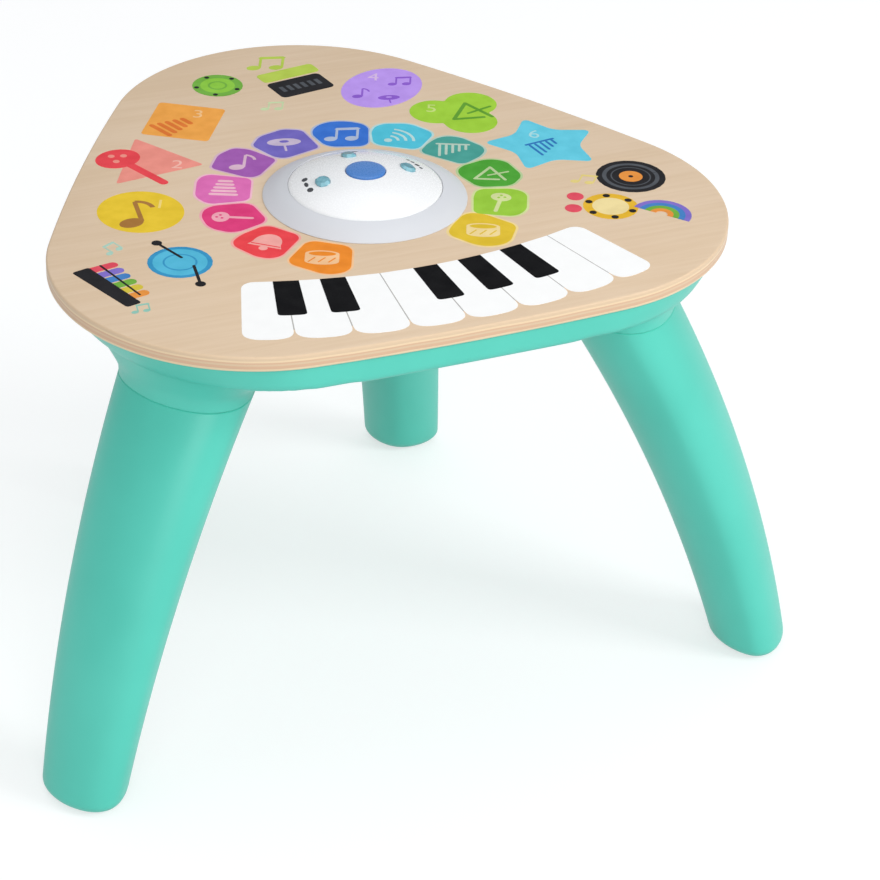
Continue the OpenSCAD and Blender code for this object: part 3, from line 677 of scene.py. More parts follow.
def close_up(merge: float = 0.002) -> None:
    """In edit mode: merges doubles, fills open loops and points the faces outwards.

    Args:
        merge: Distance within which points become one, in millimetres.
    """
    bpy.ops.mesh.select_all(action="SELECT")
    bpy.ops.mesh.remove_doubles(threshold=merge * MM)
    bpy.ops.mesh.select_all(action="SELECT")
    bpy.ops.mesh.fill_holes(sides=0)
    bpy.ops.mesh.select_all(action="SELECT")
    bpy.ops.mesh.normals_make_consistent(inside=False)


@dataclass(frozen=True)
class Ring:
    """One ring of a lofted form: its centre, height and half sizes, in millimetres."""

    x: float
    y: float
    z: float
    depth: float
    width: float


def grow(old: Ring, new: Ring) -> None:
    """In edit mode: extrudes the selected ring, scales the copy and moves it.

    Args:
        old: The ring that is selected.
        new: The ring that the extrusion ends in.
    """
    bpy.ops.mesh.extrude_edges_move()
    bpy.ops.transform.resize(
        value=(new.depth / old.depth, new.width / old.width, 1.0),
        center_override=metres(old.x, old.y, old.z),
    )
    bpy.ops.transform.translate(value=metres(new.x - old.x, new.y - old.y, new.z - old.z))


def loft(name: str, section: Sequence[Point], rings: Sequence[Ring]) -> bpy.types.Object:
    """Builds a closed form by extruding one section from ring to ring.

    Args:
        name: The new object's name.
        section: The section's points at half sizes of one.
        rings: The rings in order; the first and last are capped.

    Returns:
        The new object.
    """
    first = rings[0]
    points = [(first.x + first.depth * u, first.y + first.width * v) for u, v in section]
    piece = add_loop(name, points, first.z)
    with editing(piece):
        for old, new in zip(rings, rings[1:]):
            grow(old, new)
        close_up()
    return piece


def circle_points(count: int, start: float = 0.0) -> Outline:
    """Points of a unit circle.

    Args:
        count: How many points.
        start: Angle of the first one in degrees.

    Returns:
        The points in order.
    """
    angles = [math.radians(start + 360 * i / count) for i in range(count)]
    return [(math.cos(a), math.sin(a)) for a in angles]


def turn_profile(
    name: str, centre: Point, profile: Sequence[Point], sides: int = 128
) -> bpy.types.Object:
    """Turns a profile round an upright axis, as on a lathe.

    Args:
        name: The new object's name.
        centre: Where the axis stands.
        profile: Radius and height of each corner, in order.
        sides: Faces round the axis.

    Returns:
        The new object, closed.
    """
    rings = [Ring(centre[0], centre[1], z, r, r) for r, z in profile]
    return loft(name, circle_points(sides), rings)


def finish_piece(
    piece: bpy.types.Object,
    body: str,
    finish: Finish,
    replaces: Sequence[str] = (),
    smooth: float = 32.0,
    dressed: bool = False,
) -> bpy.types.Object:
    """Smooths, dresses and hangs a finished piece on its body.

    Args:
        piece: The piece.
        body: The body that it rides on.
        finish: The finish that covers it, unless it has its own materials.
        replaces: The CAD nodes that it stands for.
        smooth: Edges blunter than this angle are shaded smooth, in degrees.
        dressed: True where the piece's parts already have their own materials.

    Returns:
        The piece.
    """
    apply_place(piece)
    bpy.ops.object.shade_smooth_by_angle(angle=math.radians(smooth))
    if not dressed:
        piece.data.materials.clear()
        piece.data.materials.append(finish.material())
    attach(piece, body)
    if replaces:
        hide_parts(*replaces)
    log.info("%s: %d faces on %s", piece.name, len(piece.data.polygons), body)
    return piece


# ---------------------------------------------------------------------------------------
# The table's shared plan


@dataclass(frozen=True)
class Plan:
    """Driving sizes that the top, base and legs share, in millimetres."""

    axis_y: float
    module_y: float
    play_z: float
    ply_z: float
    floor_z: float
    seam_z: float
    corner_dist: float = 117.0
    corner_r: float = 140.0
    side_r: float = 1716.0
    band_inset: float = 3.0
    band_draft: float = 1.2
    side_draw: float = 15.5
    base_wall: float = 2.6
    socket_wall: float = 3.0
    socket_gap: float = 0.35
    spigot_len: float = 32.0
    seam_bevel: float = 0.55
    section_power: float = 1.1
    section_lean: float = 0.25

    @classmethod
    def from_frame(cls) -> "Plan":
        """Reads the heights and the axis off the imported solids.

        Returns:
            The plan.
        """
        low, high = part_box("top_panel")
        base_low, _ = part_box("base_shell")
        ring_low, ring_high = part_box("light_ring")
        _, door_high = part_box("battery_door")
        back = high[1] / MM - cls.corner_dist - cls.corner_r
        return cls(
            axis_y=back,
            module_y=(ring_low[1] + ring_high[1]) / 2 / MM,
            play_z=high[2] / MM,
            ply_z=low[2] / MM,
            floor_z=door_high[2] / MM - cls.base_wall,
            seam_z=base_low[2] / MM,
        )

    def side_offset(self, dist: float) -> float:
        """How far behind the axis a bowed side's arc has its centre, for corners at a distance.

        Args:
            dist: Distance of the corner circles' centres from the axis.

        Returns:
            The offset.
        """
        reach = self.side_r - self.corner_r
        return (math.sqrt(4 * reach**2 - 3 * dist**2) - dist) / 2

    def outline(
        self, inset: float, dist: float, side_steps: int = 20, corner_steps: int = 40
    ) -> Outline:
        """The rounded triangle: three corner arcs joined by three bowed sides.

        Args:
            inset: How far inside the table's edge the outline runs.
            dist: Distance of the corner arcs' centres from the axis.
            side_steps: Points on each side.
            corner_steps: Points on each corner.

        Returns:
            The outline's points.
        """
        off = self.side_offset(dist)
        half = math.degrees(math.asin(dist * math.sin(math.radians(60)) / (self.side_r - self.corner_r)))
        points: Outline = []
        for mid in (-90, 30, 150):
            toward = (math.cos(math.radians(mid)), math.sin(math.radians(mid)))
            for i in range(side_steps):
                a = math.radians(mid - half + 2 * half * i / side_steps)
                r = self.side_r - inset
                points.append((r * math.cos(a) - off * toward[0], r * math.sin(a) - off * toward[1]))
            corner = math.radians(mid + 60)
            centre = (dist * math.cos(corner), dist * math.sin(corner))
            for i in range(corner_steps):
                a = math.radians(mid + half + (120 - 2 * half) * i / corner_steps)
                r = self.corner_r - inset
                points.append((centre[0] + r * math.cos(a), centre[1] + r * math.sin(a)))
        return [(x, y + self.axis_y) for x, y in points]

    def section(self, count: int = 72) -> Outline:
        """A leg's section at half sizes of one: an oval with soft ridges, fuller outward.

        Args:
            count: Points.

        Returns:
            The points.
        """
        return [
            (
                math.copysign(abs(c) ** self.section_power, c) + self.section_lean * s * s,
                math.copysign(abs(s) ** self.section_power, s),
            )
            for c, s in circle_points(count)
        ]


@dataclass(frozen=True)
class LegShape:
    """Driving sizes of one pair of legs, in millimetres; depths and widths are half sizes."""

    foot_r: float
    joint_r: float
    bow_r: float
    foot_depth: float
    foot_width: float
    seam_depth: float
    seam_width: float
    flare: float


FRONT_LEG = LegShape(300.5, 182.0, 1000.0, 27.5, 31.7, 43.0, 50.5, 1.0)
REAR_LEG = LegShape(234.0, 117.5, 1210.0, 21.7, 30.4, 34.0, 36.0, 0.45)


@dataclass
class Leg:
    """One bowed hollow leg with its spigot, built along its own X and then turned."""

    name: str
    plan: Plan
    azimuth: float
    shape: LegShape
    foot_z: float = 1.0
    foot_round: float = 9.0
    pad_t: float = 2.5
    pad_margin: float = 3.0
    wall: float = 2.8
    shaft_steps: int = 26
    round_steps: int = 8
    collar_over: float = 8.0
    flare_even: float = 0.55
    flare_late: float = 0.45

    def centre_x(self, z: float) -> float:
        """Distance of the leg's centre line from the table's axis at a height.

        Args:
            z: The height.

        Returns:
            The distance.
        """
        shape = self.shape
        rise = self.plan.seam_z - self.foot_z
        run = shape.foot_r - shape.joint_r
        tilt = math.atan2(run, rise) - math.asin(math.hypot(run, rise) / 2 / shape.bow_r)
        middle_x = shape.foot_r - shape.bow_r * math.cos(tilt)
        middle_z = self.foot_z - shape.bow_r * math.sin(tilt)
        return middle_x + math.sqrt(shape.bow_r**2 - (z - middle_z) ** 2)

    def ring(self, z: float, inset: float, upright: bool = False) -> Ring:
        """The leg's ring at a height.

        Args:
            z: The ring's height.
            inset: How far inside the leg's skin it runs.
            upright: True on the spigot, which keeps the seam's section.

        Returns:
            The ring in the leg's own coordinates.
        """
        level = self.plan.seam_z if upright else z
        along = (level - self.foot_z) / (self.plan.seam_z - self.foot_z)
        depth = self.shape.foot_depth + (self.shape.seam_depth - self.shape.foot_depth) * along
        width = self.shape.foot_width + (self.shape.seam_width - self.shape.foot_width) * along
        x = self.shape.joint_r if upright else self.centre_x(z)
        return Ring(x, 0.0, z, depth - inset, width - inset)

    def rings(self) -> list[Ring]:
        """All rings: pad recess, rounded foot, bowed shaft, seam, spigot and its bore.

        Returns:
            The rings, in the order in which they are skinned.
        """
        seam = self.plan.seam_z
        spigot = self.plan.socket_wall + self.plan.socket_gap
        top = seam + self.plan.spigot_len
        recess = self.foot_round + self.pad_margin
        rings = [self.ring(self.pad_t, recess), self.ring(self.foot_z, recess)]
        for i in range(self.round_steps):
            a = math.radians(90 * i / self.round_steps)
            drop = self.foot_round * (1 - math.cos(a))
            rings.append(self.ring(self.foot_z + drop, self.foot_round * (1 - math.sin(a))))
        low = self.foot_z + self.foot_round
        high = seam - self.plan.seam_bevel
        for i in range(self.shaft_steps + 1):
            rings.append(self.ring(low + (high - low) * i / self.shaft_steps, 0.0))
        rings += [
            self.ring(seam, self.plan.seam_bevel, True),
            self.ring(seam, spigot, True),
            self.ring(top - 1, spigot, True),
            self.ring(top, spigot + 1, True),
            self.ring(top, spigot + self.wall, True),
            self.ring(seam, spigot + self.wall, True),
        ]
        return rings

    def turn_out(self, piece: bpy.types.Object) -> None:
        """Turns a form from the leg's own X to the leg's place round the table's axis.

        Args:
            piece: The form, in the leg's own coordinates.
        """
        piece.matrix_world = (
            Matrix.Translation(metres(0, self.plan.axis_y, 0))
            @ Matrix.Rotation(math.radians(self.azimuth), 4, "Z")
        )
        apply_place(piece)

    def build(self) -> None:
        """Builds the leg, dresses it and hangs it on its own body."""
        piece = loft(self.name, self.plan.section(), self.rings())
        piece.name = self.name + "_moulding"
        self.turn_out(piece)
        finish_piece(piece, self.name + "_body", TEAL_ABS, [self.name], smooth=28.0)

    def collar_rings(self, corner: Point, steps: int = 14) -> list[Ring]:
        """Rings of the collar: straight at the seam, then flaring into the corner.

        Args:
            corner: The corner circle's centre in the leg's own coordinates.
            steps: Rings on the flare.

        Returns:
            The rings from the bottom up.
        """
        plan = self.plan
        flare_z = plan.seam_z + (plan.floor_z - plan.seam_z) / 4
        top_z = plan.floor_z + plan.base_wall / 2
        corner_skin = plan.corner_r - plan.band_inset
        low = self.ring(plan.seam_z, 0.0, True)
        rings = [Ring(low.x, 0.0, plan.seam_z - self.collar_over, low.depth, low.width)]
        for i in range(steps + 1):
            z = flare_z + (top_z - flare_z) * i / steps
            v = (z - flare_z) / (plan.ply_z - flare_z)
            w = self.shape.flare * (self.flare_even * v + self.flare_late * v**4)
            rings.append(Ring(
                low.x + w * (corner[0] - low.x), w * corner[1], z,
                low.depth * (1 - w) + corner_skin * w, low.width * (1 - w) + corner_skin * w,
            ))
        return rings

    def collar(self) -> bpy.types.Object:
        """The collar's closed form, longer than needed at the seam.

        Returns:
            The new object.
        """
        front = math.sin(math.radians(self.azimuth)) < 0
        turn = 0.0 if front else math.radians(90 - self.azimuth)
        corner = (self.plan.corner_dist * math.cos(turn), self.plan.corner_dist * math.sin(turn))
        piece = loft(self.name + "_collar", self.plan.section(), self.collar_rings(corner))
        self.turn_out(piece)
        return piece

    def socket(self) -> bpy.types.Object:
        """The socket's cup inside the collar, open at the seam.

        Returns:
            The new object.
        """
        plan = self.plan
        roof = plan.seam_z + plan.spigot_len + 1
        mouth = plan.seam_z + plan.seam_bevel
        inner = plan.socket_wall
        outer = plan.socket_wall / 2
        rings = [
            self.ring(roof, inner, True), self.ring(mouth, inner, True),
            self.ring(mouth, outer, True), self.ring(roof + plan.base_wall, outer, True),
        ]
        piece = loft(self.name + "_socket", plan.section(), rings)
        self.turn_out(piece)
        return piece


# ---------------------------------------------------------------------------------------
# Base shell


@dataclass
class BaseShell:
    """The moulded base: apron band, flat floor, flared collars and leg sockets."""

    plan: Plan
    legs: list[Leg]
    voxel: float = 2.4
    blend_rounds: int = 12
    over: float = 8.0
    grille_rings: int = 3
    grille_pitch: float = 5.0
    grille_hole_r: float = 1.4
    speaker: Point = (40.0, 10.0)
    battery_y: float = 104.95
    switch_y: float = 160.0
    slot_size: Point = (16.6, 5.4)
    open_len: float = 65.8
    open_w: float = 55.3
    door_ear: float = 10.0
    door_corner: float = 4.8
    screw_inset: float = 22.0
    screw_step: float = 45.0
    screw_head_r: float = 3.6
    screw_shank_r: float = 1.55
    boss_wall: float = 1.3
    boss_foot: float = 0.6
    boss_gap: float = 0.1
    rim_gap: float = 0.02
    seam_reach: float = 70.0
    cut_past: float = 2.0

    def band(self) -> bpy.types.Object:
        """The apron band as a closed form, higher than needed at the top.

        Returns:
            The new object.
        """
        plan = self.plan
        drawn = 1 - plan.side_draw / (plan.corner_dist * math.cos(math.radians(30)) + plan.corner_r)
        rim = plan.outline(plan.band_inset + plan.band_draft, plan.corner_dist)
        low = add_loop("band", [(drawn * x, y) for x, y in rim], plan.floor_z)
        high = add_loop("band_top", plan.outline(plan.band_inset, plan.corner_dist), plan.ply_z)
        piece = join("band", [low, high])
        with editing(piece):
            bpy.ops.mesh.bridge_edge_loops()
            bpy.ops.mesh.select_all(action="DESELECT")
        self.select_points(piece, lambda co: co.z > (plan.ply_z - 1) * MM)
        with self.edit_selected(piece):
            bpy.ops.mesh.extrude_edges_move()
            bpy.ops.transform.translate(value=metres(0, 0, self.over))
            close_up()
        return piece

    @staticmethod
    def select_points(piece: bpy.types.Object, test: Callable[[Vector], bool]) -> None:
        """Selects the vertices, and the edges between them, whose place passes a test.

        Args:
            piece: The object, in object mode.
            test: A function of the vertex's place in metres.
        """
        mesh = piece.data
        for face in mesh.polygons:
            face.select = False
        for vertex in mesh.vertices:
            vertex.select = bool(test(vertex.co))
        for edge in mesh.edges:
            edge.select = all(mesh.vertices[i].select for i in edge.vertices)

    @staticmethod
    @contextmanager
    def edit_selected(piece: bpy.types.Object) -> Iterator[None]:
        """Edit mode with edges picked, keeping what was selected in object mode.

        Args:
            piece: The object.

        Yields:
            Nothing, with the object in edit mode.
        """
        pick(piece)
        bpy.ops.object.mode_set(mode="EDIT")
        bpy.ops.mesh.select_mode(type="EDGE")
        yield
        bpy.ops.mesh.select_mode(type="VERT")
        bpy.ops.object.mode_set(mode="OBJECT")

    def skin(self) -> bpy.types.Object:
        """Band and collars melted into one smooth skin, trimmed at top and seam, then thickened.

        Returns:
            The new object.
        """
        plan = self.plan
        piece = join("base_skin", [self.band(), *[leg.collar() for leg in self.legs]])
        apply_modifier(piece, "REMESH", mode="VOXEL", voxel_size=self.voxel * MM)
        apply_modifier(piece, "SMOOTH", factor=0.5, iterations=self.blend_rounds)
        lip = plan.seam_z + plan.seam_bevel
        with editing(piece):
            bpy.ops.mesh.bisect(
                plane_co=metres(0, 0, plan.ply_z - self.rim_gap), plane_no=(0, 0, 1), clear_outer=True)
            bpy.ops.mesh.select_all(action="SELECT")
            bpy.ops.mesh.bisect(plane_co=metres(0, 0, lip), plane_no=(0, 0, 1), clear_inner=True)
        for leg in self.legs:
            self.bevel_seam(piece, leg, lip)
        apply_modifier(piece, "SOLIDIFY", thickness=plan.base_wall * MM, offset=-1.0)
        return piece

    def bevel_seam(self, piece: bpy.types.Object, leg: Leg, lip: float) -> None:
        """Draws one collar's open end in to the seam as a narrow bevel.

        Args:
            piece: The skin.
            leg: The leg that the collar takes.
            lip: Height of the collar's open end.
        """
        plan = self.plan
        turn = math.radians(leg.azimuth)
        joint = leg.shape.joint_r
        middle = metres(joint * math.cos(turn), joint * math.sin(turn) + plan.axis_y, lip)
        reach = self.seam_reach * MM
        self.select_points(
            piece, lambda co: abs(co.z - lip * MM) < SAME_HEIGHT and (co - middle).length < reach)
        share = 1 - plan.seam_bevel / leg.shape.seam_depth
        with self.edit_selected(piece):
            bpy.ops.mesh.extrude_edges_move()
            bpy.ops.transform.resize(value=(share, share, 1.0), center_override=middle)
            bpy.ops.transform.translate(value=metres(0, 0, -plan.seam_bevel))

    def screw_spots(self) -> list[Point]:
        """Places of the six screws under the apron.

        Returns:
            The places.
        """
        out = self.plan.side_r - self.plan.side_offset(self.plan.corner_dist) - self.screw_inset
        spots = []
        for mid in (-90, 30, 150):
            c, s = math.cos(math.radians(mid)), math.sin(math.radians(mid))
            for side in (-1, 1):
                step = side * self.screw_step
                spots.append((out * c - step * s, out * s + step * c + self.plan.axis_y))
        return spots

    def door_outline(self) -> Outline:
        """The battery opening: a rectangle with round corners.

        Returns:
            The points.
        """
        x = self.open_len / 2 - self.door_corner
        low = -self.open_w / 2 + self.door_corner
        high = self.open_w / 2 + self.door_ear - self.door_corner
        points: Outline = []
        for cx, cy, start in ((x, high, 0), (-x, high, 90), (-x, low, 180), (x, low, 270)):
            for i in range(9):
                a = math.radians(start + 90 * i / 8)
                points.append((cx + self.door_corner * math.cos(a), cy + self.door_corner * math.sin(a)))
        return [(px, py - self.battery_y + self.plan.axis_y) for px, py in points]

    def grille_spots(self) -> list[Point]:
        """Centres of the grille's holes, in rings of six, twelve and eighteen round one.

        Returns:
            The centres.
        """
        spots = [(0.0, 0.0)]
        for ring in range(1, self.grille_rings + 1):
            for x, y in circle_points(6 * ring):
                spots.append((self.grille_pitch * ring * x, self.grille_pitch * ring * y))
        cx, cy = self.speaker
        return [(x + cx, y + cy + self.plan.axis_y) for x, y in spots]

    def prism(self, name: str, outline: Outline, low: float, high: float) -> bpy.types.Object:
        """A closed upright prism over an outline.

        Args:
            name: The new object's name.
            outline: Its outline.
            low: Height of its foot.
            high: Height of its top.

        Returns:
            The new object.
        """
        piece = add_loop(name, outline, low)
        with editing(piece):
            bpy.ops.mesh.extrude_edges_move()
            bpy.ops.transform.translate(value=metres(0, 0, high - low))
            close_up()
        return piece

    def cutters(self) -> bpy.types.Object:
        """Everything that is cut through the floor, as one object.

        Returns:
            The new object.
        """
        low = self.plan.floor_z - self.cut_past
        high = self.plan.floor_z + self.plan.base_wall + self.cut_past
        half_x, half_y = self.slot_size[0] / 2, self.slot_size[1] / 2
        y = -self.switch_y + self.plan.axis_y
        slot = [(half_x, y + half_y), (-half_x, y + half_y), (-half_x, y - half_y), (half_x, y - half_y)]
        parts = [
            self.prism("door_cut", self.door_outline(), low, high),
            self.prism("slot_cut", slot, low, high),
        ]
        for cx, cy in self.grille_spots():
            hole = oval(cx, cy, self.grille_hole_r, self.grille_hole_r, 16)
            parts.append(self.prism("grille_cut", hole, low, high))
        for cx, cy in self.screw_spots():
            hole = oval(cx, cy, self.screw_head_r, self.screw_head_r, 24)
            parts.append(self.prism("screw_cut", hole, low, high))
        return join("floor_cuts", parts)

    def boss(self, spot: Point) -> bpy.types.Object:
        """One screw boss: a tube with a counterbore for the screw's head.

        Args:
            spot: The screw's place.

        Returns:
            The new object.
        """
        outer = self.screw_head_r + self.boss_wall
        seat = (self.plan.floor_z + self.plan.ply_z) / 2
        low = self.plan.floor_z + self.boss_foot
        high = self.plan.ply_z - self.boss_gap
        profile = [
            (self.screw_shank_r, high), (self.screw_shank_r, seat), (self.screw_head_r, seat),
            (self.screw_head_r, low), (outer, low), (outer, high), (self.screw_shank_r, high),
        ]
        return turn_profile("boss", spot, profile, 24)

    def build(self) -> None:
        """Builds the base, cuts its openings and dresses it."""
        skin = self.skin()
        cuts = self.cutters()
        apply_modifier(skin, "BOOLEAN", operation="DIFFERENCE", object=cuts, solver="MANIFOLD")
        bpy.data.objects.remove(cuts)
        inner = [leg.socket() for leg in self.legs] + [self.boss(spot) for spot in self.screw_spots()]
        piece = join("base_moulding", [skin, *inner])
        finish_piece(piece, Body.TABLE.value, TEAL_ABS, ["base_shell"], smooth=30.0)


# ---------------------------------------------------------------------------------------
# Play top and its prints


@dataclass
class PlayTop:
    """The plywood panel with its rounded edge and the hole for the centre module."""

    plan: Plan
    hole_r: float = 62.0
    edge_r: float = 1.6
    edge_segments: int = 4
    cut_past: float = 2.0

    def build(self) -> None:
        """Builds the panel from its outline, rounds its edge and cuts the hole."""
        plan = self.plan
        piece = add_loop("play_top", plan.outline(0.0, plan.corner_dist, 16, 48), plan.ply_z)
        with editing(piece):
            bpy.ops.mesh.extrude_edges_move()
            bpy.ops.transform.translate(value=metres(0, 0, plan.play_z - plan.ply_z))
            close_up()
        apply_modifier(
            piece, "BEVEL", width=self.edge_r * MM, segments=self.edge_segments,
            limit_method="ANGLE", angle_limit=math.radians(60))
        cut = turn_profile(
            "hole", (0.0, plan.module_y),
            [(self.hole_r, plan.ply_z - self.cut_past), (self.hole_r, plan.play_z + self.cut_past)], 96)
        apply_modifier(piece, "BOOLEAN", operation="DIFFERENCE", object=cut, solver="MANIFOLD")
        bpy.data.objects.remove(cut)
        wood = BirchPlywood(plan.ply_z, plan.play_z - plan.ply_z)
        finish_piece(piece, Body.TABLE.value, wood, ["top_panel"], smooth=40.0)


@dataclass
class Print:
    """One printed design: thin closed films of ink, each laid over the last, joined into one piece."""

    name: str
    plan: Plan
    centre: Point = (0.0, 0.0)
    turn: float = 0.0
    first: float = 0.05
    step: float = 0.012
    films: list[bpy.types.Object] = field(default_factory=list)

    def placed(self, outline: Outline) -> Outline:
        """Turns an outline and moves it to the design's place on the table.

        Args:
            outline: Points in the design's own coordinates.

        Returns:
            The same points on the table.
        """
        c, s = math.cos(math.radians(self.turn)), math.sin(math.radians(self.turn))
        cx, cy = self.centre
        return [(cx + c * x - s * y, cy + s * x + c * y + self.plan.axis_y) for x, y in outline]

    def height(self) -> float:
        """Height of the next film's top above the wood, in millimetres."""
        return self.first + self.step * len(self.films)

    def film(self, outline: Outline, ink: ScreenInk, rounding: float = 0.0) -> None:
        """Lays one film of ink over those that are there.

        Args:
            outline: The film's corners in the design's own coordinates.
            ink: The ink.
            rounding: Radius that its corners are rounded with.
        """
        piece = add_loop(self.name, self.placed(outline), self.plan.play_z)
        with editing(piece):
            bpy.ops.mesh.edge_face_add()
            if rounding:
                bpy.ops.mesh.bevel(
                    offset=rounding * MM, segments=6, affect="VERTICES", offset_type="OFFSET",
                    clamp_overlap=True)
                bpy.ops.mesh.select_all(action="SELECT")
            bpy.ops.mesh.extrude_region_move()
            bpy.ops.transform.translate(value=metres(0, 0, self.height()))
            bpy.ops.mesh.select_all(action="SELECT")
            bpy.ops.mesh.normals_make_consistent(inside=False)
        piece.data.materials.append(ink.material())
        self.films.append(piece)

    def dot(self, x: float, y: float, r: float, ink: ScreenInk) -> None:
        """Prints one round dot."""
        self.film(oval(x, y, r, r, 24), ink)

    def digit(self, character: str, place: Point, size: float, ink: ScreenInk) -> None:
        """Prints one plain number.

        Args:
            character: The number.
            place: Its middle in the design's own coordinates.
            size: Height of the type in millimetres.
            ink: The ink.
        """
        (x, y), = self.placed([place])
        deselect()
        bpy.ops.object.text_add(
            location=metres(x, y, self.plan.play_z), rotation=(0, 0, math.radians(self.turn)))
        piece = bpy.context.object
        piece.data.body = character
        piece.data.size = size * MM
        piece.data.align_x = "CENTER"
        piece.data.align_y = "CENTER"
        piece.data.extrude = self.height() * MM
        bpy.ops.object.convert(target="MESH")
        piece = bpy.context.object
        apply_place(piece)
        piece.data.materials.clear()
        piece.data.materials.append(ink.material())
        self.films.append(piece)

    def build(self) -> None:
        """Joins the films into one piece."""
        piece = join(self.name, self.films)
        finish_piece(piece, Body.TABLE.value, WHITE_INK, smooth=20.0, dressed=True)


WHITE_INK = ScreenInk("white_key_ink", "#fcfcfb", swing=0.008)
BLACK_INK = ScreenInk("black_key_ink", "#0b0b0e", sheen=0.04)
LINE_INK = ScreenInk("key_gap_ink", "#b4b2ae")
SYMBOL_INK = ScreenInk("symbol_ink", "#4a4c50")


def oval(cx: float, cy: float, rx: float, ry: float, count: int = 28, turn: float = 0.0) -> Outline:
    """An oval's outline.

    Args:
        cx: Middle, across.
        cy: Middle, up.
        rx: Half width.
        ry: Half height.
        count: Points.
        turn: Turn in degrees.

    Returns:
        The points.
    """
    c, s = math.cos(math.radians(turn)), math.sin(math.radians(turn))
    return [(cx + c * rx * u - s * ry * v, cy + s * rx * u + c * ry * v) for u, v in circle_points(count)]


def bar(x0: float, y0: float, x1: float, y1: float, width: float, ends: int = 6) -> Outline:
    """A bar with round ends.

    Args:
        x0: Start, across.
        y0: Start, up.
        x1: End, across.
        y1: End, up.
        width: The bar's width.
        ends: Steps on each round end.

    Returns:
        The points.
    """
    along = math.degrees(math.atan2(y1 - y0, x1 - x0))
    points: Outline = []
    for cx, cy, start in ((x1, y1, along - 90), (x0, y0, along + 90)):
        for i in range(ends + 1):
            a = math.radians(start + 180 * i / ends)
            points.append((cx + width / 2 * math.cos(a), cy + width / 2 * math.sin(a)))
    return points


def box(cx: float, cy: float, width: float, height: float) -> Outline:
    """A rectangle round its middle."""
    x, y = width / 2, height / 2
    return [(cx + x, cy + y), (cx - x, cy + y), (cx - x, cy - y), (cx + x, cy - y)]


def arc_band(
    cx: float, cy: float, r: float, width: float, start: float, end: float, steps: int = 18
) -> Outline:
    """A curved band.

    Args:
        cx: Middle of the arc, across.
        cy: Middle of the arc, up.
        r: Radius of its middle line.
        width: The band's width.
        start: Angle where it starts, in degrees.
        end: Angle where it ends.
        steps: Steps along it.

    Returns:
        The points.
    """
    angles = [math.radians(start + (end - start) * i / steps) for i in range(steps + 1)]
    outer = [(cx + (r + width / 2) * math.cos(a), cy + (r + width / 2) * math.sin(a)) for a in angles]
    inner = [(cx + (r - width / 2) * math.cos(a), cy + (r - width / 2) * math.sin(a)) for a in angles]
    return outer + inner[::-1]


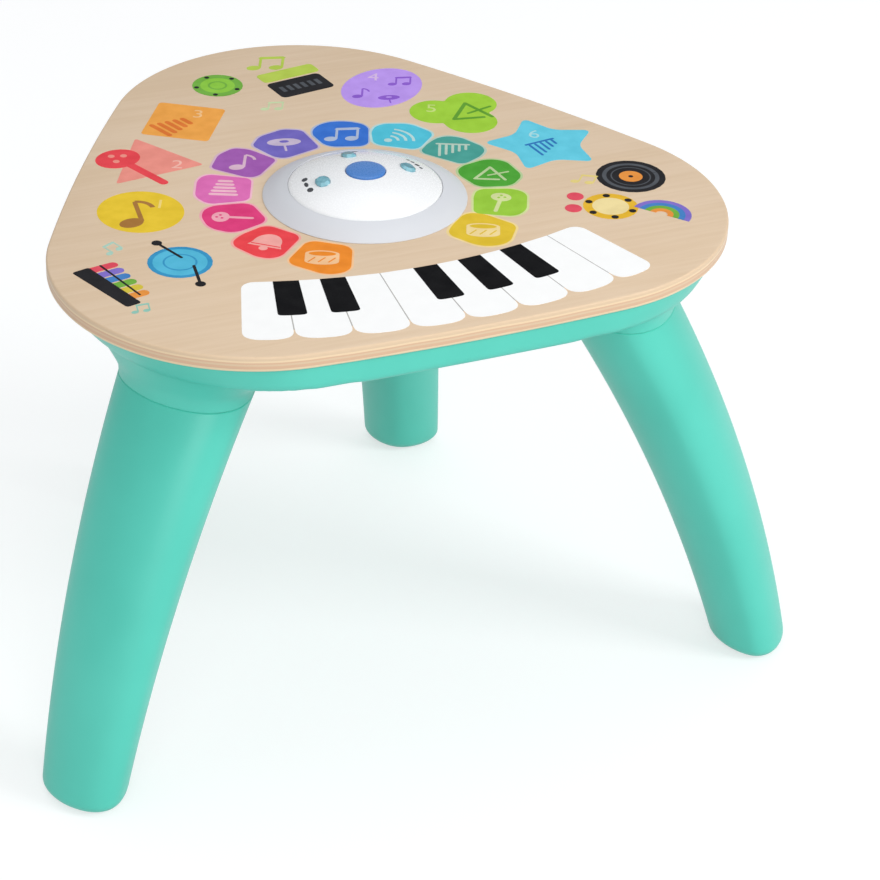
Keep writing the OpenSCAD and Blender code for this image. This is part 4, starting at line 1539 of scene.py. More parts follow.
@dataclass
class Keyboard:
    """The printed piano: eight white keys in a fan, five black keys over their gaps."""

    plan: Plan
    middle: Point = (0.0, 260.0)
    back_r: float = 375.0
    gap_r: float = 440.0
    front_r: float = 452.0
    gaps: tuple[float, ...] = (-19.4, -14.95, -10.0, -5.05, -0.1, 4.85, 9.8, 14.75, 19.0)
    gap: float = 0.9
    front_shape: float = 0.72
    back_corner: float = 9.0
    black_keys: tuple[float, ...] = (-14.8, -10.0, -0.1, 4.9, 9.9)
    black_width: float = 2.65
    black_corner_r: float = 416.5
    black_front_r: float = 421.0
    black_shape: float = 0.42

    def spot(self, angle: float, radius: float) -> Point:
        """A place on the fan, from an angle off the middle line and a radius."""
        a = math.radians(-90 + angle)
        return (self.middle[0] + radius * math.cos(a), self.middle[1] + radius * math.sin(a))

    def back_end(self, angle: float, side: int, rounding: float) -> Outline:
        """One back corner of a key, sharp or rounded.

        Args:
            angle: Angle of the key's side in degrees.
            side: One where the key's body lies at larger angles, minus one where at smaller ones.
            rounding: The corner's radius, zero for a sharp corner.

        Returns:
            The corner's points, in the order of growing angles.
        """
        points = []
        for turn in range(0, 91, 15) if rounding else (90,):
            a = math.radians(turn)
            r = self.back_r + rounding * (1 - math.sin(a))
            across = math.degrees(rounding * (1 - math.cos(a)) / r)
            points.append(self.spot(angle + side * across, r))
        return points if side > 0 else points[::-1]

    def front_end(self, low: float, high: float, corner_r: float, front_r: float, shape: float) -> Outline:
        """The bulging front of a key, from its larger angle to its smaller one.

        Args:
            low: Angle of the key's one side in degrees.
            high: Angle of its other side.
            corner_r: Radius of the fan where the bulge starts.
            front_r: Radius of the fan at the middle of the bulge.
            shape: Below one for a squarer bulge, one for an oval.

        Returns:
            The points.
        """
        mid, half = (low + high) / 2, (high - low) / 2
        points = []
        for i in range(25):
            a = math.radians(90 - 180 * i / 24)
            across = math.copysign(abs(math.sin(a)) ** shape, math.sin(a))
            out = max(0.0, math.cos(a)) ** shape
            points.append(self.spot(mid + half * across, corner_r + (front_r - corner_r) * out))
        return points

    def build(self) -> None:
        """Prints the white keys, the lines between them and the black keys."""
        white = Print("piano_white_keys", self.plan)
        half_gap = math.degrees(self.gap / 2 / self.front_r)
        pairs = list(zip(self.gaps, self.gaps[1:]))
        for k, (low, high) in enumerate(pairs):
            low_corner = self.back_corner if k == 0 else 0.0
            high_corner = self.back_corner if k == len(pairs) - 1 else 0.0
            low += half_gap
            high -= half_gap
            back = self.back_end(low, 1, low_corner) + self.back_end(high, -1, high_corner)
            front = self.front_end(low, high, self.gap_r, self.front_r, self.front_shape)
            white.film(back + front, WHITE_INK)
        white.build()
        lines = Print("piano_key_lines", self.plan, first=0.03, step=0.0)
        for angle in self.gaps[1:-1]:
            x0, y0 = self.spot(angle, self.back_r + 0.5)
            x1, y1 = self.spot(angle, self.gap_r - 0.5)
            lines.film(bar(x0, y0, x1, y1, self.gap + 0.2, 2), LINE_INK)
        lines.build()
        black = Print("piano_black_keys", self.plan, first=0.2)
        for mid in self.black_keys:
            low, high = mid - self.black_width / 2, mid + self.black_width / 2
            back = [self.spot(low, self.back_r), self.spot(high, self.back_r)]
            front = self.front_end(low, high, self.black_corner_r, self.black_front_r, self.black_shape)
            black.film(back + front, BLACK_INK)
        black.build()


class Motif(Enum):
    """The plain pictures that tiles and shapes carry."""

    NOTE = "note"
    BEAM = "beam"
    BELL = "bell"
    DRUM = "drum"
    TRIANGLE = "triangle"
    SHAKER = "shaker"
    BARS = "bars"
    CYMBAL = "cymbal"
    WAVES = "waves"
    CHIMES = "chimes"


def motif_films(motif: Motif) -> list[tuple[Outline, bool]]:
    """The films of one small picture, about 20 mm across.

    Args:
        motif: Which picture.

    Returns:
        Outline, and whether the film takes the ground's own colour again.
    """
    if motif is Motif.NOTE:
        return [
            (oval(-3.0, -6.0, 4.2, 3.1, turn=20), False),
            (bar(0.6, -5.0, 0.6, 8.0, 1.6), False),
            (arc_band(0.2, 3.0, 5.6, 1.7, 5, 85), False),
        ]
    if motif is Motif.BEAM:
        return [
            (oval(-6.6, -6.2, 3.6, 2.7, turn=20), False),
            (oval(4.6, -4.6, 3.6, 2.7, turn=20), False),
            (bar(-3.6, -5.4, -3.6, 6.6, 1.4), False),
            (bar(7.6, -3.8, 7.6, 8.2, 1.4), False),
            (bar(-3.6, 6.0, 7.6, 7.8, 2.8, 2), False),
        ]
    if motif is Motif.BELL:
        dome = [(7.4 * c, 9.5 * s - 1) for c, s in circle_points(30)[:16]]
        return [
            ([(9.0, -5.0), (8.0, -3.0)] + dome + [(-8.0, -3.0), (-9.0, -5.0)], False),
            (oval(0, -6.8, 2.3, 2.3), False),
            (bar(-7.4, -3.2, 7.4, -3.2, 0.9), True),
        ]
    if motif is Motif.DRUM:
        return [
            (oval(0, -4.4, 8.6, 3.4), False),
            (box(0, -0.4, 17.2, 8.0), False),
            (oval(0, 3.6, 8.6, 3.4), False),
            (oval(0, 3.6, 6.9, 2.3), True),
            *[(bar(x, -5.0, x + 3.0, -0.6, 0.8), True) for x in (-6.6, -1.5, 3.6)],
        ]
    if motif is Motif.TRIANGLE:
        return [
            (bar(-8, -6, 0, 8, 1.7), False),
            (bar(0, 8, 8, -6, 1.7), False),
            (bar(-8, -6, 4.5, -6, 1.7), False),
            (bar(-1, -1.5, 9.5, 3.5, 1.3), False),
        ]
    if motif is Motif.SHAKER:
        return [
            (oval(-4.6, 4.0, 5.4, 4.6, turn=40), False),
            (bar(-1.2, 0.8, 6.8, -7.2, 2.2), False),
            (oval(-6.2, 5.2, 0.8, 0.8, 12), True),
            (oval(-3.4, 5.6, 0.8, 0.8, 12), True),
            (oval(-4.8, 2.6, 0.8, 0.8, 12), True),
        ]
    if motif is Motif.BARS:
        bars = [(-7.5 + 3.75 * i, 6.5 - 0.9 * i) for i in range(5)]
        return [(bar(x, -h, x, h, 2.5, 4), False) for x, h in bars]
    if motif is Motif.CYMBAL:
        return [
            (oval(0, 1.5, 9.2, 4.4, turn=12), False),
            (oval(0, 2.2, 2.6, 1.5, turn=12), True),
            (bar(0.6, -2.5, 1.8, -8.5, 1.3), False),
        ]
    if motif is Motif.WAVES:
        return [
            (oval(-7.0, -5.0, 2.2, 2.2), False),
            *[(arc_band(-7.0, -5.0, r, 1.6, 0, 78), False) for r in (5.4, 9.6, 13.8)],
        ]
    return [
        (bar(-8.5, 7.2, 8.5, 7.2, 1.7), False),
        *[(bar(-7 + 3.5 * i, 5.8, -7 + 3.5 * i, 2.1 * i - 7, 1.5, 4), False) for i in range(5)],
    ]


@dataclass(frozen=True)
class Tile:
    """One touch tile: its middle, colour, corners round the middle, and picture."""

    name: str
    colour: str
    middle: Point
    corners: tuple[Point, ...]
    motif: Motif
    turn: float = -24.0

    def outline(self, extra: float) -> Outline:
        """The tile's corners, moved outwards.

        Args:
            extra: How far the corners move outwards.

        Returns:
            The corners.
        """
        return [
            (x * (1 + extra / math.hypot(x, y)), y * (1 + extra / math.hypot(x, y)))
            for x, y in self.corners
        ]


@dataclass
class TileRing:
    """The ring of twelve coloured touch tiles round the centre module."""

    plan: Plan
    rim: float = 1.9
    rounding: float = 7.5
    picture: float = 1.35
    stagger: float = 0.006
    tiles: tuple[Tile, ...] = (
        Tile("orange", "#f08a20", (-61, -79.5),
             ((0, 26), (25, 7), (11, -25), (-6, -25), (-26, 1)), Motif.DRUM),
        Tile("red", "#ee3f47", (-88, -47),
             ((8, 24), (25, 0), (0, -24), (-13, -20), (-25, 5), (-16, 15)), Motif.BELL, -40),
        Tile("magenta", "#e03678", (-98, -4.5),
             ((-10, 21), (19, 16), (21, -14), (-7, -23), (-21, -10), (-20, 11)), Motif.SHAKER, 20),
        Tile("pink", "#e06cb4", (-88.5, 39),
             ((-5, 24), (23, 7), (10, -24), (-19, -20), (-24, -6), (-14, 18)), Motif.BARS, 66),
        Tile("purple", "#a057ae", (-62.5, 72),
             ((1, 24), (11, 18), (24, -4), (3, -24), (-5, -24), (-25, -1), (-13, 17)), Motif.NOTE),
        Tile("violet", "#6f64bd", (-24.5, 91),
             ((7, 22), (20, 16), (22, -15), (-7, -23), (-14, -19), (-23, 4), (-13, 16)), Motif.CYMBAL),
        Tile("blue", "#2f6fd0", (21.5, 90.5),
             ((-9, 23), (9, 21), (23, 8), (10, -24), (-19, -15), (-22, 11)), Motif.BEAM),
        Tile("cyan", "#4cc2da", (60, 73),
             ((-7, 25), (14, 18), (25, -3), (3, -24), (-24, -5), (-17, 17)), Motif.WAVES),
        Tile("sea_green", "#429e92", (86.5, 40),
             ((1, 24), (13, 19), (24, -4), (18, -14), (-2, -24), (-24, 5), (-12, 17)), Motif.CHIMES),
        Tile("green", "#47a22e", (96.5, -4),
             ((7, 23), (19, 16), (21, -10), (7, -22), (-16, -16), (-22, 8), (-16, 18)), Motif.TRIANGLE),
        Tile("lime", "#98cb38", (85, -46.5),
             ((-6, 24), (18, 16), (24, 6), (13, -17), (2, -23), (-24, -9), (-13, 16)), Motif.SHAKER, -80),
        Tile("yellow", "#e2bf2c", (57.5, -80),
             ((-2, 27), (9, 23), (25, -2), (10, -23), (-2, -25), (-13, -20), (-26, 2), (-19, 12)),
             Motif.DRUM),
    )

    def build(self) -> None:
        """Prints every tile: pale rim, colour and picture, its neighbours a little higher or lower."""
        for k, tile in enumerate(self.tiles):
            ink = ScreenInk("ink_" + tile.name, tile.colour)
            pale = ScreenInk("pale_ink_" + tile.name, blend_hex(tile.colour, "#fbe9d8", 0.62))
            sheet = Print("tile_" + tile.name, self.plan, tile.middle, first=0.05 + self.stagger * (k % 2))
            sheet.film(tile.outline(self.rim), pale, self.rounding + self.rim)
            sheet.film(tile.outline(0.0), ink, self.rounding)
            sheet.turn = tile.turn
            for outline, again in motif_films(tile.motif):
                grown = [(self.picture * x, self.picture * y) for x, y in outline]
                sheet.film(grown, ink if again else pale)
            sheet.build()


@dataclass(frozen=True)
class Picture:
    """A plain picture on a shape: which one, where from the table's axis, its size and turn."""

    motif: Motif
    place: Point
    size: float = 1.0
    turn: float = -24.0


def star(outer: float, inner: float, lean: float) -> Outline:
    """A five-pointed star."""
    spots = enumerate(circle_points(10, 90 + lean))
    return [(x * (inner if i % 2 else outer), y * (inner if i % 2 else outer)) for i, (x, y) in spots]


def joined_discs(discs: tuple[tuple[float, float, float], ...], count: int = 72) -> Outline:
    """The outline of discs that all cover the middle.

    Args:
        discs: Middle and radius of each disc.
        count: Points.

    Returns:
        The points.
    """
    points = []
    for u, v in circle_points(count):
        reach = max(
            u * x + v * y + math.sqrt(r * r - x * x - y * y + (u * x + v * y) ** 2) for x, y, r in discs)
        points.append((reach * u, reach * v))
    return points


@dataclass(frozen=True)
class TouchShape:
    """One large coloured shape with its number and its pictures."""

    name: str
    colour: str
    middle: Point
    outline: Outline
    digit: str
    digit_at: Point
    deep: str
    pictures: tuple[Picture, ...]
    rounding: float = 0.0


@dataclass
class ShapeSet:
    """Six large coloured shapes round the top."""

    plan: Plan
    digit_size: float = 18.0
    digit_turn: float = -24.0

    def shapes(self) -> list[TouchShape]:
        """The six shapes, from the left corner round the back to the right one.

        Returns:
            The shapes.
        """
        square = [(-6, 37), (36, 9), (6, -37), (-36, -9)]
        triangle = [(9, 40), (-26, -24), (42, -16)]
        leaf = joined_discs(((-16, 6.3, 19.5), (14, 10.3, 19.5), (2, -16.7, 20)))
        return [
            TouchShape("circle", "#eac62c", (-155, 24), oval(0, 0, 30, 31, 48), "1", (-139, 30), "#a87434",
                       (Picture(Motif.NOTE, (-158, 22), 2.1, -8),)),
            TouchShape("triangle", "#ee9184", (-132, 94), triangle, "2", (-108, 84), "#e8404a",
                       (Picture(Motif.SHAKER, (-136.5, 90), 3.1, -23),), 3.0),
            TouchShape("square", "#f0a446", (-81, 149), square, "3", (-67, 157), "#e0742a",
                       (Picture(Motif.BARS, (-90, 145), 1.6, 20),), 3.0),
            TouchShape("oval", "#bb95ee", (78, 155), oval(0, 0, 37, 28, 48, 38), "4", (79, 174), "#8a58cc",
                       (Picture(Motif.NOTE, (60, 151), 0.95), Picture(Motif.BEAM, (96, 161), 0.95),
                        Picture(Motif.CYMBAL, (76, 136), 0.9))),
            TouchShape("trefoil", "#9fd036", (116, 96.7), leaf, "5", (99, 109), "#5c9c28",
                       (Picture(Motif.TRIANGLE, (124, 95), 1.8, -10),)),
            TouchShape("star", "#60cbe2", (153, 27), star(44, 25.5, -5), "6", (153, 44), "#2472b8",
                       (Picture(Motif.CHIMES, (153, 22), 1.35, 8),), 6.0),
        ]

    def build(self) -> None:
        """Prints every shape: its colour, its pictures and its number."""
        for shape in self.shapes():
            ink = ScreenInk("ink_shape_" + shape.name, shape.colour)
            deep = ScreenInk("deep_ink_shape_" + shape.name, shape.deep)
            pale = ScreenInk("pale_ink_shape_" + shape.name, blend_hex(shape.colour, "#fdeedd", 0.45))
            sheet = Print("shape_" + shape.name, self.plan, shape.middle)
            sheet.film(shape.outline, ink, shape.rounding)
            for picture in shape.pictures:
                sheet.centre = picture.place
                sheet.turn = picture.turn
                for points, again in motif_films(picture.motif):
                    grown = [(picture.size * x, picture.size * y) for x, y in points]
                    sheet.film(grown, ink if again else deep)
            sheet.centre = shape.digit_at
            sheet.turn = self.digit_turn
            sheet.digit(shape.digit, (0.0, 0.0), self.digit_size, pale)
            sheet.build()


@dataclass
class CornerPictures:
    """Plain music pictures: panpipes and a drum, a record and a tambourine, a drum with notes."""

    plan: Plan

    @staticmethod
    def ink(name: str, colour: str) -> ScreenInk:
        """One of the corner pictures' inks."""
        return ScreenInk("ink_corner_" + name, colour)

    def panpipes(self) -> None:
        """Six coloured pipes in a dark wedge with a dark band, at the left edge."""
        sheet = Print("picture_panpipes", self.plan, (-203, -66), 100)
        colours = (("red", "#e24a5c"), ("violet", "#7f6cc8"), ("blue", "#3f7fc4"),
                   ("green", "#6fae3c"), ("yellow", "#d8c23c"), ("orange", "#e8913a"))
        for i, (name, colour) in enumerate(colours):
            x = 22 - 8.8 * i
            start = 5 + 0.135 * (x - 26.5)
            sheet.film(bar(x, start, x, start - 15 + 1.2 * i, 7.4), self.ink(name, colour))
        dark = self.ink("dark", "#17161a")
        sheet.film([(25.5, 18), (-33.5, 8), (-32.8, -3), (26.5, 5)], dark, 2.0)
        sheet.film(bar(-23, -7, 25, -3, 1.6), dark)
        sheet.build()

    def drum(self) -> None:
        """A blue drum seen from above, with two dark sticks."""
        sheet = Print("picture_drum", self.plan, (-153, -54))
        deep = self.ink("deep_blue", "#2f93c4")
        sheet.dot(0, 0, 22, deep)
        sheet.dot(0, 0, 18.5, self.ink("light_blue", "#4fb8da"))
        sheet.film(arc_band(0, 0, 11, 1.4, 0, 359, 40), deep)
        dark = self.ink("dark", "#17161a")
        for x0, y0, x1, y1 in ((-6, 31, 3, 6), (3, -33, 7, -8)):
            sheet.film(bar(x0, y0, x1, y1, 2.2), dark)
            sheet.dot(x0, y0, 3.6, dark)
        sheet.build()

    def record(self) -> None:
        """A dark record with a coloured label, at the right edge."""
        sheet = Print("picture_record", self.plan, (190, -41))
        sheet.dot(0, 0, 25, self.ink("dark", "#17161a"))
        sheet.film(arc_band(0, 0, 19, 3.0, 0, 359, 48), self.ink("grey", "#4c5056"))
        sheet.film(arc_band(0, 0, 14, 1.0, 0, 359, 40), self.ink("grey", "#4c5056"))
        sheet.dot(0, 0, 8.5, self.ink("orange", "#e8913a"))
        sheet.dot(0, 0, 1.8, self.ink("dark", "#17161a"))
        sheet.build()

    def tambourine(self) -> None:
        """A yellow tambourine with dark jingles, two red dots and a small rainbow."""
        sheet = Print("picture_tambourine", self.plan, (156, -78))
        sheet.dot(0, 0, 19.5, self.ink("gold", "#e6b428"))
        sheet.dot(0, 0, 13, self.ink("cream", "#f0dc9c"))
        for x, y in circle_points(6, 15):
            sheet.dot(16.2 * x, 16.2 * y, 2.6, self.ink("dark", "#17161a"))
        sheet.dot(-17, 22, 6, self.ink("red", "#e24a5c"))
        sheet.dot(-26, 6, 6, self.ink("red", "#e24a5c"))
        sheet.centre = (189, -97)
        sheet.turn = -52
        bands = (("violet", "#7f6cc8"), ("blue", "#3f7fc4"), ("green", "#6fae3c"), ("orange", "#e8913a"))
        for i, (name, colour) in enumerate(bands):
            sheet.film(arc_band(0, -6, 19 - 4.2 * i, 4.2, 0, 180, 24), self.ink(name, colour))
        sheet.build()

    def notes(self) -> None:
        """A green drum and a mouth organ under a lime bar, at the back, and notes in all corners."""
        sheet = Print("picture_mouth_organ", self.plan, (22, 179), 9)
        dark = self.ink("dark", "#17161a")
        sheet.film(box(0, 0, 45, 27), dark, 4.0)
        for i in range(6):
            sheet.film(box(-15 + 6 * i, 0, 3.4, 9), self.ink("grey", "#4c5056"), 0.6)
        sheet.film(box(2, 23, 48, 15), self.ink("lime", "#b4cc4c"), 3.5)
        sheet.centre = (-37, 199)
        sheet.dot(0, 0, 19, self.ink("green", "#45a233"))
        sheet.dot(0, 0, 13, self.ink("leaf", "#8ac83c"))
        sheet.film(arc_band(0, 0, 6.5, 1.6, 0, 359, 32), self.ink("green", "#45a233"))
        for x, y in circle_points(5, 20):
            sheet.dot(16 * x, 16 * y, 1.9, dark)
        sheet.build()
        for name, colour, centre, turn, size in (
            ("lime", "#b4cc4c", (12, 224), -24, 1.5), ("pale", "#c5d8a8", (-10, 152), -24, 0.9),
            ("mist", "#a9d0c0", (-190, -20), 20, 0.8), ("sand", "#e4cf7c", (157, -34), -40, 0.9),
            ("teal", "#8fc8b8", (-197, -105), -10, 0.7),
        ):
            notes = Print("picture_note_" + name, self.plan, centre, turn)
            for outline, _ in motif_films(Motif.BEAM):
                notes.film([(size * x, size * y) for x, y in outline], self.ink(name, colour))
            notes.build()

    def build(self) -> None:
        """Prints the three corners."""
        self.panpipes()
        self.drum()
        self.record()
        self.tambourine()
        self.notes()


# ---------------------------------------------------------------------------------------
# Centre module


@dataclass
class CentreModule:
    """Light ring, dome, mode lenses and the mode button."""

    plan: Plan
    ring_r: float = 71.8
    dome_r: float = 54.0
    rim_h: float = 8.6
    crown_h: float = 20.5
    shell: float = 2.2
    gap: float = 0.3
    dome_steps: int = 22
    guide_h: float = 9.0
    guide_wall: float = 2.0
    button_r: float = 13.9
    button_crown: float = 1.2
    button_wall: float = 1.8
    flange_w: float = 1.2
    flange_t: float = 1.6
    stem_r: float = 3.0
    lens_r: float = 32.0
    lens_half: float = 5.0
    lens_straight: float = 3.6
    lens_proud: float = 1.9
    lens_facet: float = 1.5
    lens_foot: float = 1.1
    opening_low: float = -8.0
    opening_high: float = 4.0
    ink_under: float = 0.1
    ink_over: float = 0.04
    skirt_r: float = 61.4
    skirt_drop: float = 5.8

    @property
    def centre(self) -> Point:
        """The module's axis."""
        return (0.0, self.plan.module_y)

    @property
    def seat_z(self) -> float:
        """Height of the dome's seat on the light ring."""
        return self.plan.play_z + self.rim_h - self.shell

    @property
    def hole_r(self) -> float:
        """Radius of the hole that the button moves in."""
        return self.button_r + self.gap

    @property
    def guide_z(self) -> float:
        """Height of the lower end of the button's guide."""
        return self.plan.play_z + self.guide_h

    @property
    def sphere_r(self) -> float:
        """Radius of the dome's sphere."""
        rise = self.crown_h - self.rim_h
        return (self.dome_r**2 + rise**2) / 2 / rise

    def dome_z(self, r: float, inset: float = 0.0) -> float:
        """Height of the dome at a radius, on its skin or under it."""
        centre_z = self.plan.play_z + self.crown_h - self.sphere_r
        return centre_z + math.sqrt((self.sphere_r - inset) ** 2 - r * r)

    def light_ring(self) -> None:
        """The sloping grey ring with its bright lip and the skirt under it."""
        z = self.plan.play_z
        outer = self.dome_r + self.gap
        slope = [
            (self.ring_r - 0.3, z), (self.ring_r, z + 0.3), (self.ring_r, z + 0.55),
            (self.ring_r - 0.35, z + 0.85), (self.ring_r - 2.2, z + 1.8),
        ]
        rise = [
            (self.ring_r - 2.2 - (self.ring_r - 2.8 - outer) * t,
             z + 1.8 + (self.rim_h - 2.0) * (t + 0.12 * math.sin(math.pi * t)))
            for t in (0.25, 0.5, 0.75, 0.95)
        ]
        inside = [
            (outer + 0.25, z + self.rim_h), (outer, z + self.rim_h - 0.3), (outer, self.seat_z),
            (self.dome_r - 2.6, self.seat_z), (self.dome_r - 2.6, self.seat_z - self.shell),
            (outer + 2.9, self.seat_z - self.shell), (self.skirt_r - 2, z + 2.2),
            (self.skirt_r - 2, z - self.skirt_drop), (self.skirt_r, z - self.skirt_drop),
            (self.skirt_r, z), (self.ring_r - 0.3, z),
        ]
        piece = turn_profile("light_ring_moulding", self.centre, slope + rise + inside, 160)
        finish_piece(piece, Body.TABLE.value, RING_DIFFUSER, ["light_ring"], smooth=35.0)

    def dome(self) -> None:
        """The dome, its button hole with a rounded lip and three lens openings."""
        hole = self.hole_r
        guide = hole + self.guide_wall
        steps = self.dome_steps
        outer = [(hole, self.dome_z(hole) - 0.5), (hole + 0.5, self.dome_z(hole + 0.5))]
        outer += [(r, self.dome_z(r)) for r in
                  (hole + 0.5 + (self.dome_r - 0.5 - hole - 0.5) * i / steps for i in range(1, steps + 1))]
        rim = [(self.dome_r, self.dome_z(self.dome_r) - 0.45), (self.dome_r, self.seat_z),
               (self.dome_r - self.shell, self.seat_z)]
        inner = [(r, self.dome_z(r, self.shell)) for r in
                 (self.dome_r - self.shell - (self.dome_r - self.shell - guide) * i / 8 for i in range(9))]
        tube = [(guide, self.guide_z), (hole, self.guide_z), (hole, self.dome_z(hole) - 0.5)]
        piece = turn_profile("dome_moulding", self.centre, outer + rim + inner + tube, 160)
        for angle in (180, 90, 0):
            cut = self.lens_form(
                "lens_cut", angle, self.gap / 2, self.opening_low, self.opening_high, 0.0)
            apply_modifier(piece, "BOOLEAN", operation="DIFFERENCE", object=cut, solver="MANIFOLD")
            bpy.data.objects.remove(cut)
        finish_piece(piece, Body.TABLE.value, WHITE_ABS, ["dome_cover"], smooth=35.0)

    def lens_outline(self) -> Outline:
        """A lens's plan at half sizes of one: a long gem with cut corners.

        Returns:
            The points.
        """
        half = self.lens_half
        points: Outline = []
        for side, start in ((1, 0), (-1, 180)):
            for i in range(5):
                a = math.radians(start + 45 * i)
                points.append((math.cos(a), math.sin(a) + side * self.lens_straight / 2 / half))
        return points

    def lens_form(self, name: str, angle: float, grow_by: float, low: float, high: float,
                  facet: float) -> bpy.types.Object:
        """A lens or the hole for it, standing square to the dome.

        Args:
            name: The new object's name.
            angle: Direction of the lens from the dome's axis, in degrees.
            grow_by: How much wider than the lens the form is.
            low: Where it starts, above the dome's skin.
            high: Where it ends, above the dome's skin.
            facet: Width of the cut facet round its top.

        Returns:
            The new object.
        """
        half = self.lens_half + grow_by
        rings = [Ring(0, 0, low, half, half)]
        if facet:
            rings += [
                Ring(0, 0, high - facet * 0.7, half, half), Ring(0, 0, high, half - facet, half - facet)]
        else:
            rings += [Ring(0, 0, high, half, half)]
        piece = loft(name, self.lens_outline(), rings)
        self.stand_on_dome(piece, angle, self.lens_r, -angle)
        return piece

    def lenses(self) -> None:
        """Three cut lenses, each with a foot that holds it under the dome."""
        for name, angle in (("left", 180), ("back", 90), ("right", 0)):
            lens = self.lens_form(
                "lens_" + name, angle, 0.0, -self.shell - 0.3, self.lens_proud, self.lens_facet)
            foot = self.lens_form(
                "lens_foot_" + name, angle, self.lens_foot, -self.shell - 1.3, -self.shell - 0.25, 0.0)
            piece = join("lens_" + name, [lens, foot])
            finish_piece(piece, Body.TABLE.value, LENS_PC, ["mode_lens_" + name], smooth=20.0)

    def marks(self) -> None:
        """Small plain symbols outside each lens: blocks and dots in a short row."""
        rows = (
            (174.0, 42.5, ((-8.5, 4.6, 5.4), (-0.8, 3.0, 6.6), (7.4, 4.6, 5.6))),
            (83.0, 44.5, ((-3.8, 3.6, 4.6), (3.2, 2.8, 5.8))),
            (14.0, 43.5, ((-7.4, 2.6, 3.4), (-2.2, 4.0, 4.4), (3.2, 2.8, 3.8), (7.8, 3.4, 2.8))),
        )
        marks = []
        for angle, r, symbols in rows:
            for offset, width, length in symbols:
                marks.append(self.mark(angle + math.degrees(offset / r), r, width / 2, length / 2))
        piece = join("mode_symbols", marks)
        finish_piece(piece, Body.TABLE.value, SYMBOL_INK, smooth=20.0)

    def mark(self, angle: float, r: float, half_width: float, half_length: float) -> bpy.types.Object:
        """One printed symbol on the dome, a block with cut corners.

        Args:
            angle: Its direction from the dome's axis in degrees.
            r: Its distance from that axis.
            half_width: Half its width, away from the axis.
            half_length: Half its length, round the axis.

        Returns:
            The new object.
        """
        section = circle_points(8, 22.5)
        rings = [Ring(0, 0, z, half_width, half_length) for z in (-self.ink_under, self.ink_over)]
        piece = loft("mark", section, rings)
        self.stand_on_dome(piece, angle, r)
        return piece

    def stand_on_dome(self, piece: bpy.types.Object, angle: float, r: float, turn: float = 0.0) -> None:
        """Stands a piece made round the origin square to the dome's skin.

        Args:
            piece: The piece.
            angle: Its direction from the dome's axis in degrees.
            r: Its distance from that axis.
            turn: Turn round its own axis in degrees.
        """
        centre_z = self.plan.play_z + self.crown_h - self.sphere_r
        piece.matrix_world = (
            Matrix.Translation(metres(0, self.plan.module_y, centre_z))
            @ Matrix.Rotation(math.radians(angle), 4, "Z")
            @ Matrix.Rotation(math.asin(r / self.sphere_r), 4, "Y")
            @ Matrix.Rotation(math.radians(turn), 4, "Z")
            @ Matrix.Translation(metres(0, 0, self.sphere_r))
        )
        apply_place(piece)

    def button(self) -> None:
        """The blue button: crowned cap with a soft rim, skirt, flange and stem."""
        edge = self.dome_z(self.hole_r) + 0.6
        under = edge - 2.4
        r = self.button_r
        inner = r - self.button_wall
        flange = self.hole_r + self.flange_w
        flange_z = self.guide_z - self.flange_t
        stem_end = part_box("mode_button")[0][2] / MM
        crown = [
            (r * math.sin(a) * 0.955, edge + 0.15 + (self.button_crown - 0.15) * math.cos(a))
            for a in map(math.radians, (3, 10, 20, 30, 40, 50, 60, 70, 80))
        ]
        lip = [(r - 0.45, edge + 0.12), (r - 0.1, edge - 0.15), (r, edge - 0.6)]
        lower = [
            (r, self.guide_z), (flange, self.guide_z), (flange, flange_z), (inner, flange_z),
            (inner, under), (self.stem_r, under), (self.stem_r, stem_end), (0.6, stem_end),
        ]
        piece = turn_profile("mode_button_cap", self.centre, crown + lip + lower, 128)
        finish_piece(piece, Body.BUTTON.value, BUTTON_ABS, ["mode_button"], smooth=35.0)

    def build(self) -> None:
        """Builds the whole module."""
        self.light_ring()
        self.dome()
        self.lenses()
        self.marks()
        self.button()


# ---------------------------------------------------------------------------------------
# Floor, light and camera


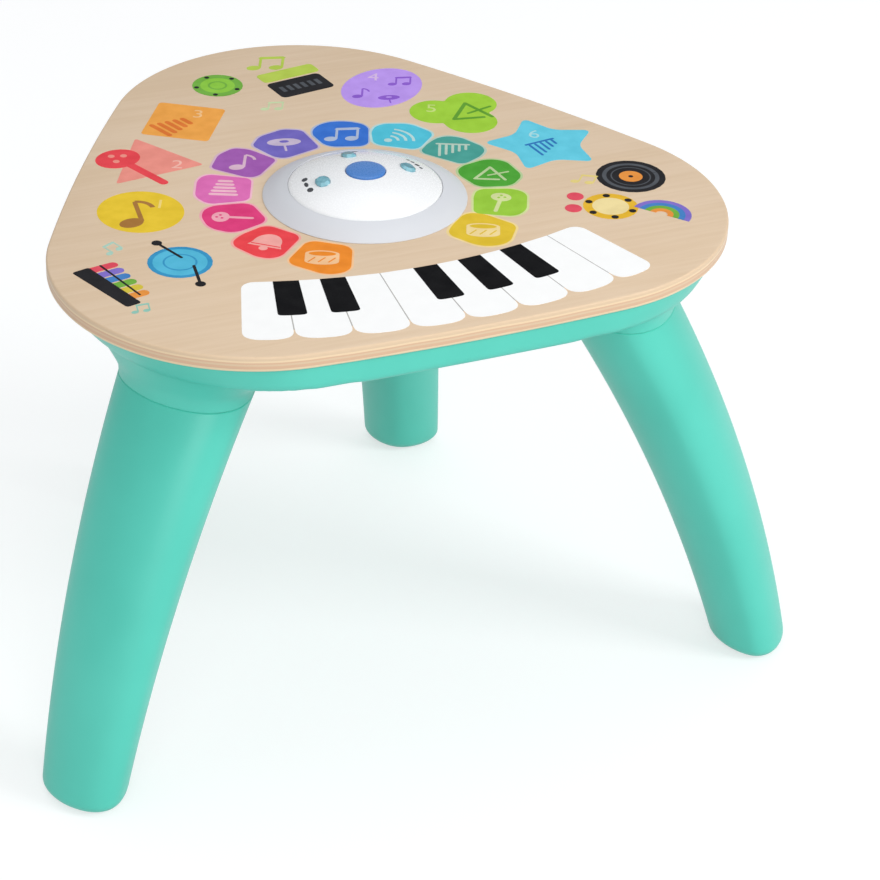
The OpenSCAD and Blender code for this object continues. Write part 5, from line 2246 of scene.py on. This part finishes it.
@dataclass
class Studio:
    """A pale floor, soft light and the camera."""

    camera_at: tuple[float, float, float] = (-699.3, -1724.1, 1284.2)
    yaw: float = 24.31
    pitch: float = 31.87
    roll: float = 2.16
    lens: float = 119.68
    floor_size: float = 9.0
    floor_shown: str = "#f6f7f8"
    floor_bounce: str = "#cdd0d2"
    floor_glow: float = 1.22
    floor_glow_share: float = 0.5

    def camera(self) -> None:
        """The camera, with its place, its turns and its lens."""
        deselect()
        bpy.ops.object.camera_add()
        camera = bpy.context.object
        camera.name = "camera"
        camera.data.lens = self.lens
        camera.data.sensor_width = 36.0
        camera.data.clip_end = 30.0
        camera.matrix_world = (
            Matrix.Translation(metres(*self.camera_at))
            @ Matrix.Rotation(math.radians(-self.yaw), 4, "Z")
            @ Matrix.Rotation(math.radians(90 - self.pitch), 4, "X")
            @ Matrix.Rotation(math.radians(self.roll), 4, "Z")
        )
        bpy.context.scene.camera = camera

    def floor(self) -> None:
        """A plain matt floor that keeps soft shadows and throws a little less light than it shows."""
        deselect()
        bpy.ops.mesh.primitive_plane_add(size=self.floor_size)
        floor = bpy.context.object
        floor.name = "studio_floor"
        material, tree, shader = start_material("studio_paper")
        shader.inputs["Roughness"].default_value = 0.9
        glow = add_node(tree, "Emission", {"Color": linear("#ffffff"), "Strength": self.floor_glow})
        rays = add_node(tree, "LightPath").outputs
        mirrored = add_node(
            tree, "Math", {0: rays["Is Glossy Ray"], 1: rays["Is Transmission Ray"]}, operation="ADD")
        seen = add_node(
            tree, "Math", {0: rays["Is Camera Ray"], 1: mirrored.outputs["Value"]}, operation="MAXIMUM"
        ).outputs["Value"]
        glowing = {0: seen, 1: self.floor_glow_share}
        share = add_node(tree, "Math", glowing, operation="MULTIPLY").outputs["Value"]
        sheet = {"Factor": seen, "A": linear(self.floor_bounce), "B": linear(self.floor_shown)}
        paper = add_node(tree, "Mix", sheet, data_type="RGBA")
        tree.links.new(paper.outputs["Result"], shader.inputs["Base Color"])
        surfaces = {0: share, 1: shader.outputs["BSDF"], 2: glow.outputs["Emission"]}
        mix = add_node(tree, "MixShader", surfaces)
        tree.links.new(mix.outputs["Shader"], tree.nodes["Material Output"].inputs["Surface"])
        floor.data.materials.append(material)

    def lamp(self, name: str, place: tuple[float, float, float], size: float, power: float) -> None:
        """One soft area lamp aimed at the table.

        Args:
            name: The lamp's name.
            place: Where it hangs, in metres.
            size: Its side in metres.
            power: Its power in watts.
        """
        deselect()
        bpy.ops.object.light_add(type="AREA", location=place)
        lamp = bpy.context.object
        lamp.name = name
        lamp.data.size = size
        lamp.data.energy = power
        aim = Vector((0.0, 0.0, 0.25)) - Vector(place)
        lamp.rotation_euler = aim.to_track_quat("-Z", "Y").to_euler()

    def world(self) -> None:
        """An even pale surround."""
        world = bpy.data.worlds.new("studio_surround")
        bpy.context.scene.world = world
        world.use_nodes = True
        background = world.node_tree.nodes["Background"]
        background.inputs["Color"].default_value = linear("#f4f7fa")
        background.inputs["Strength"].default_value = 0.5

    def build(self) -> None:
        """Sets up the studio."""
        self.camera()
        self.floor()
        self.world()
        self.lamp("key_lamp", (2.2, -2.1, 2.1), 1.3, 52.0)
        self.lamp("fill_lamp", (-1.1, -2.8, 1.7), 2.0, 40.0)
        self.lamp("top_lamp", (0.2, 0.6, 2.9), 2.4, 17.0)
        bpy.context.scene.view_settings.view_transform = "Standard"


def dress_frame() -> None:
    """Gives every CAD node that stays in sight its material."""
    for name, finish in CARRIED_OVER.items():
        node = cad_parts[name]
        node.data.materials.clear()
        node.data.materials.append(finish.material())
        log.info("%s: %s", name, finish.name)


def main() -> None:
    """Builds the scene, one sub-assembly after the other."""
    logging.basicConfig(level=logging.INFO, format="%(name)s %(message)s")
    plan = Plan.from_frame()
    log.info("plan: %s", plan)
    Studio().build()
    legs = [
        Leg("leg_front_left", plan, 210.5, FRONT_LEG),
        Leg("leg_front_right", plan, -30.5, FRONT_LEG),
        Leg("leg_rear_left", plan, 121.2, REAR_LEG),
        Leg("leg_rear_right", plan, 58.8, REAR_LEG),
    ]
    for leg in legs:
        leg.build()
    BaseShell(plan, legs).build()
    PlayTop(plan).build()
    Keyboard(plan).build()
    TileRing(plan).build()
    ShapeSet(plan).build()
    CornerPictures(plan).build()
    CentreModule(plan).build()
    dress_frame()


if __name__ == "__main__":
    main()
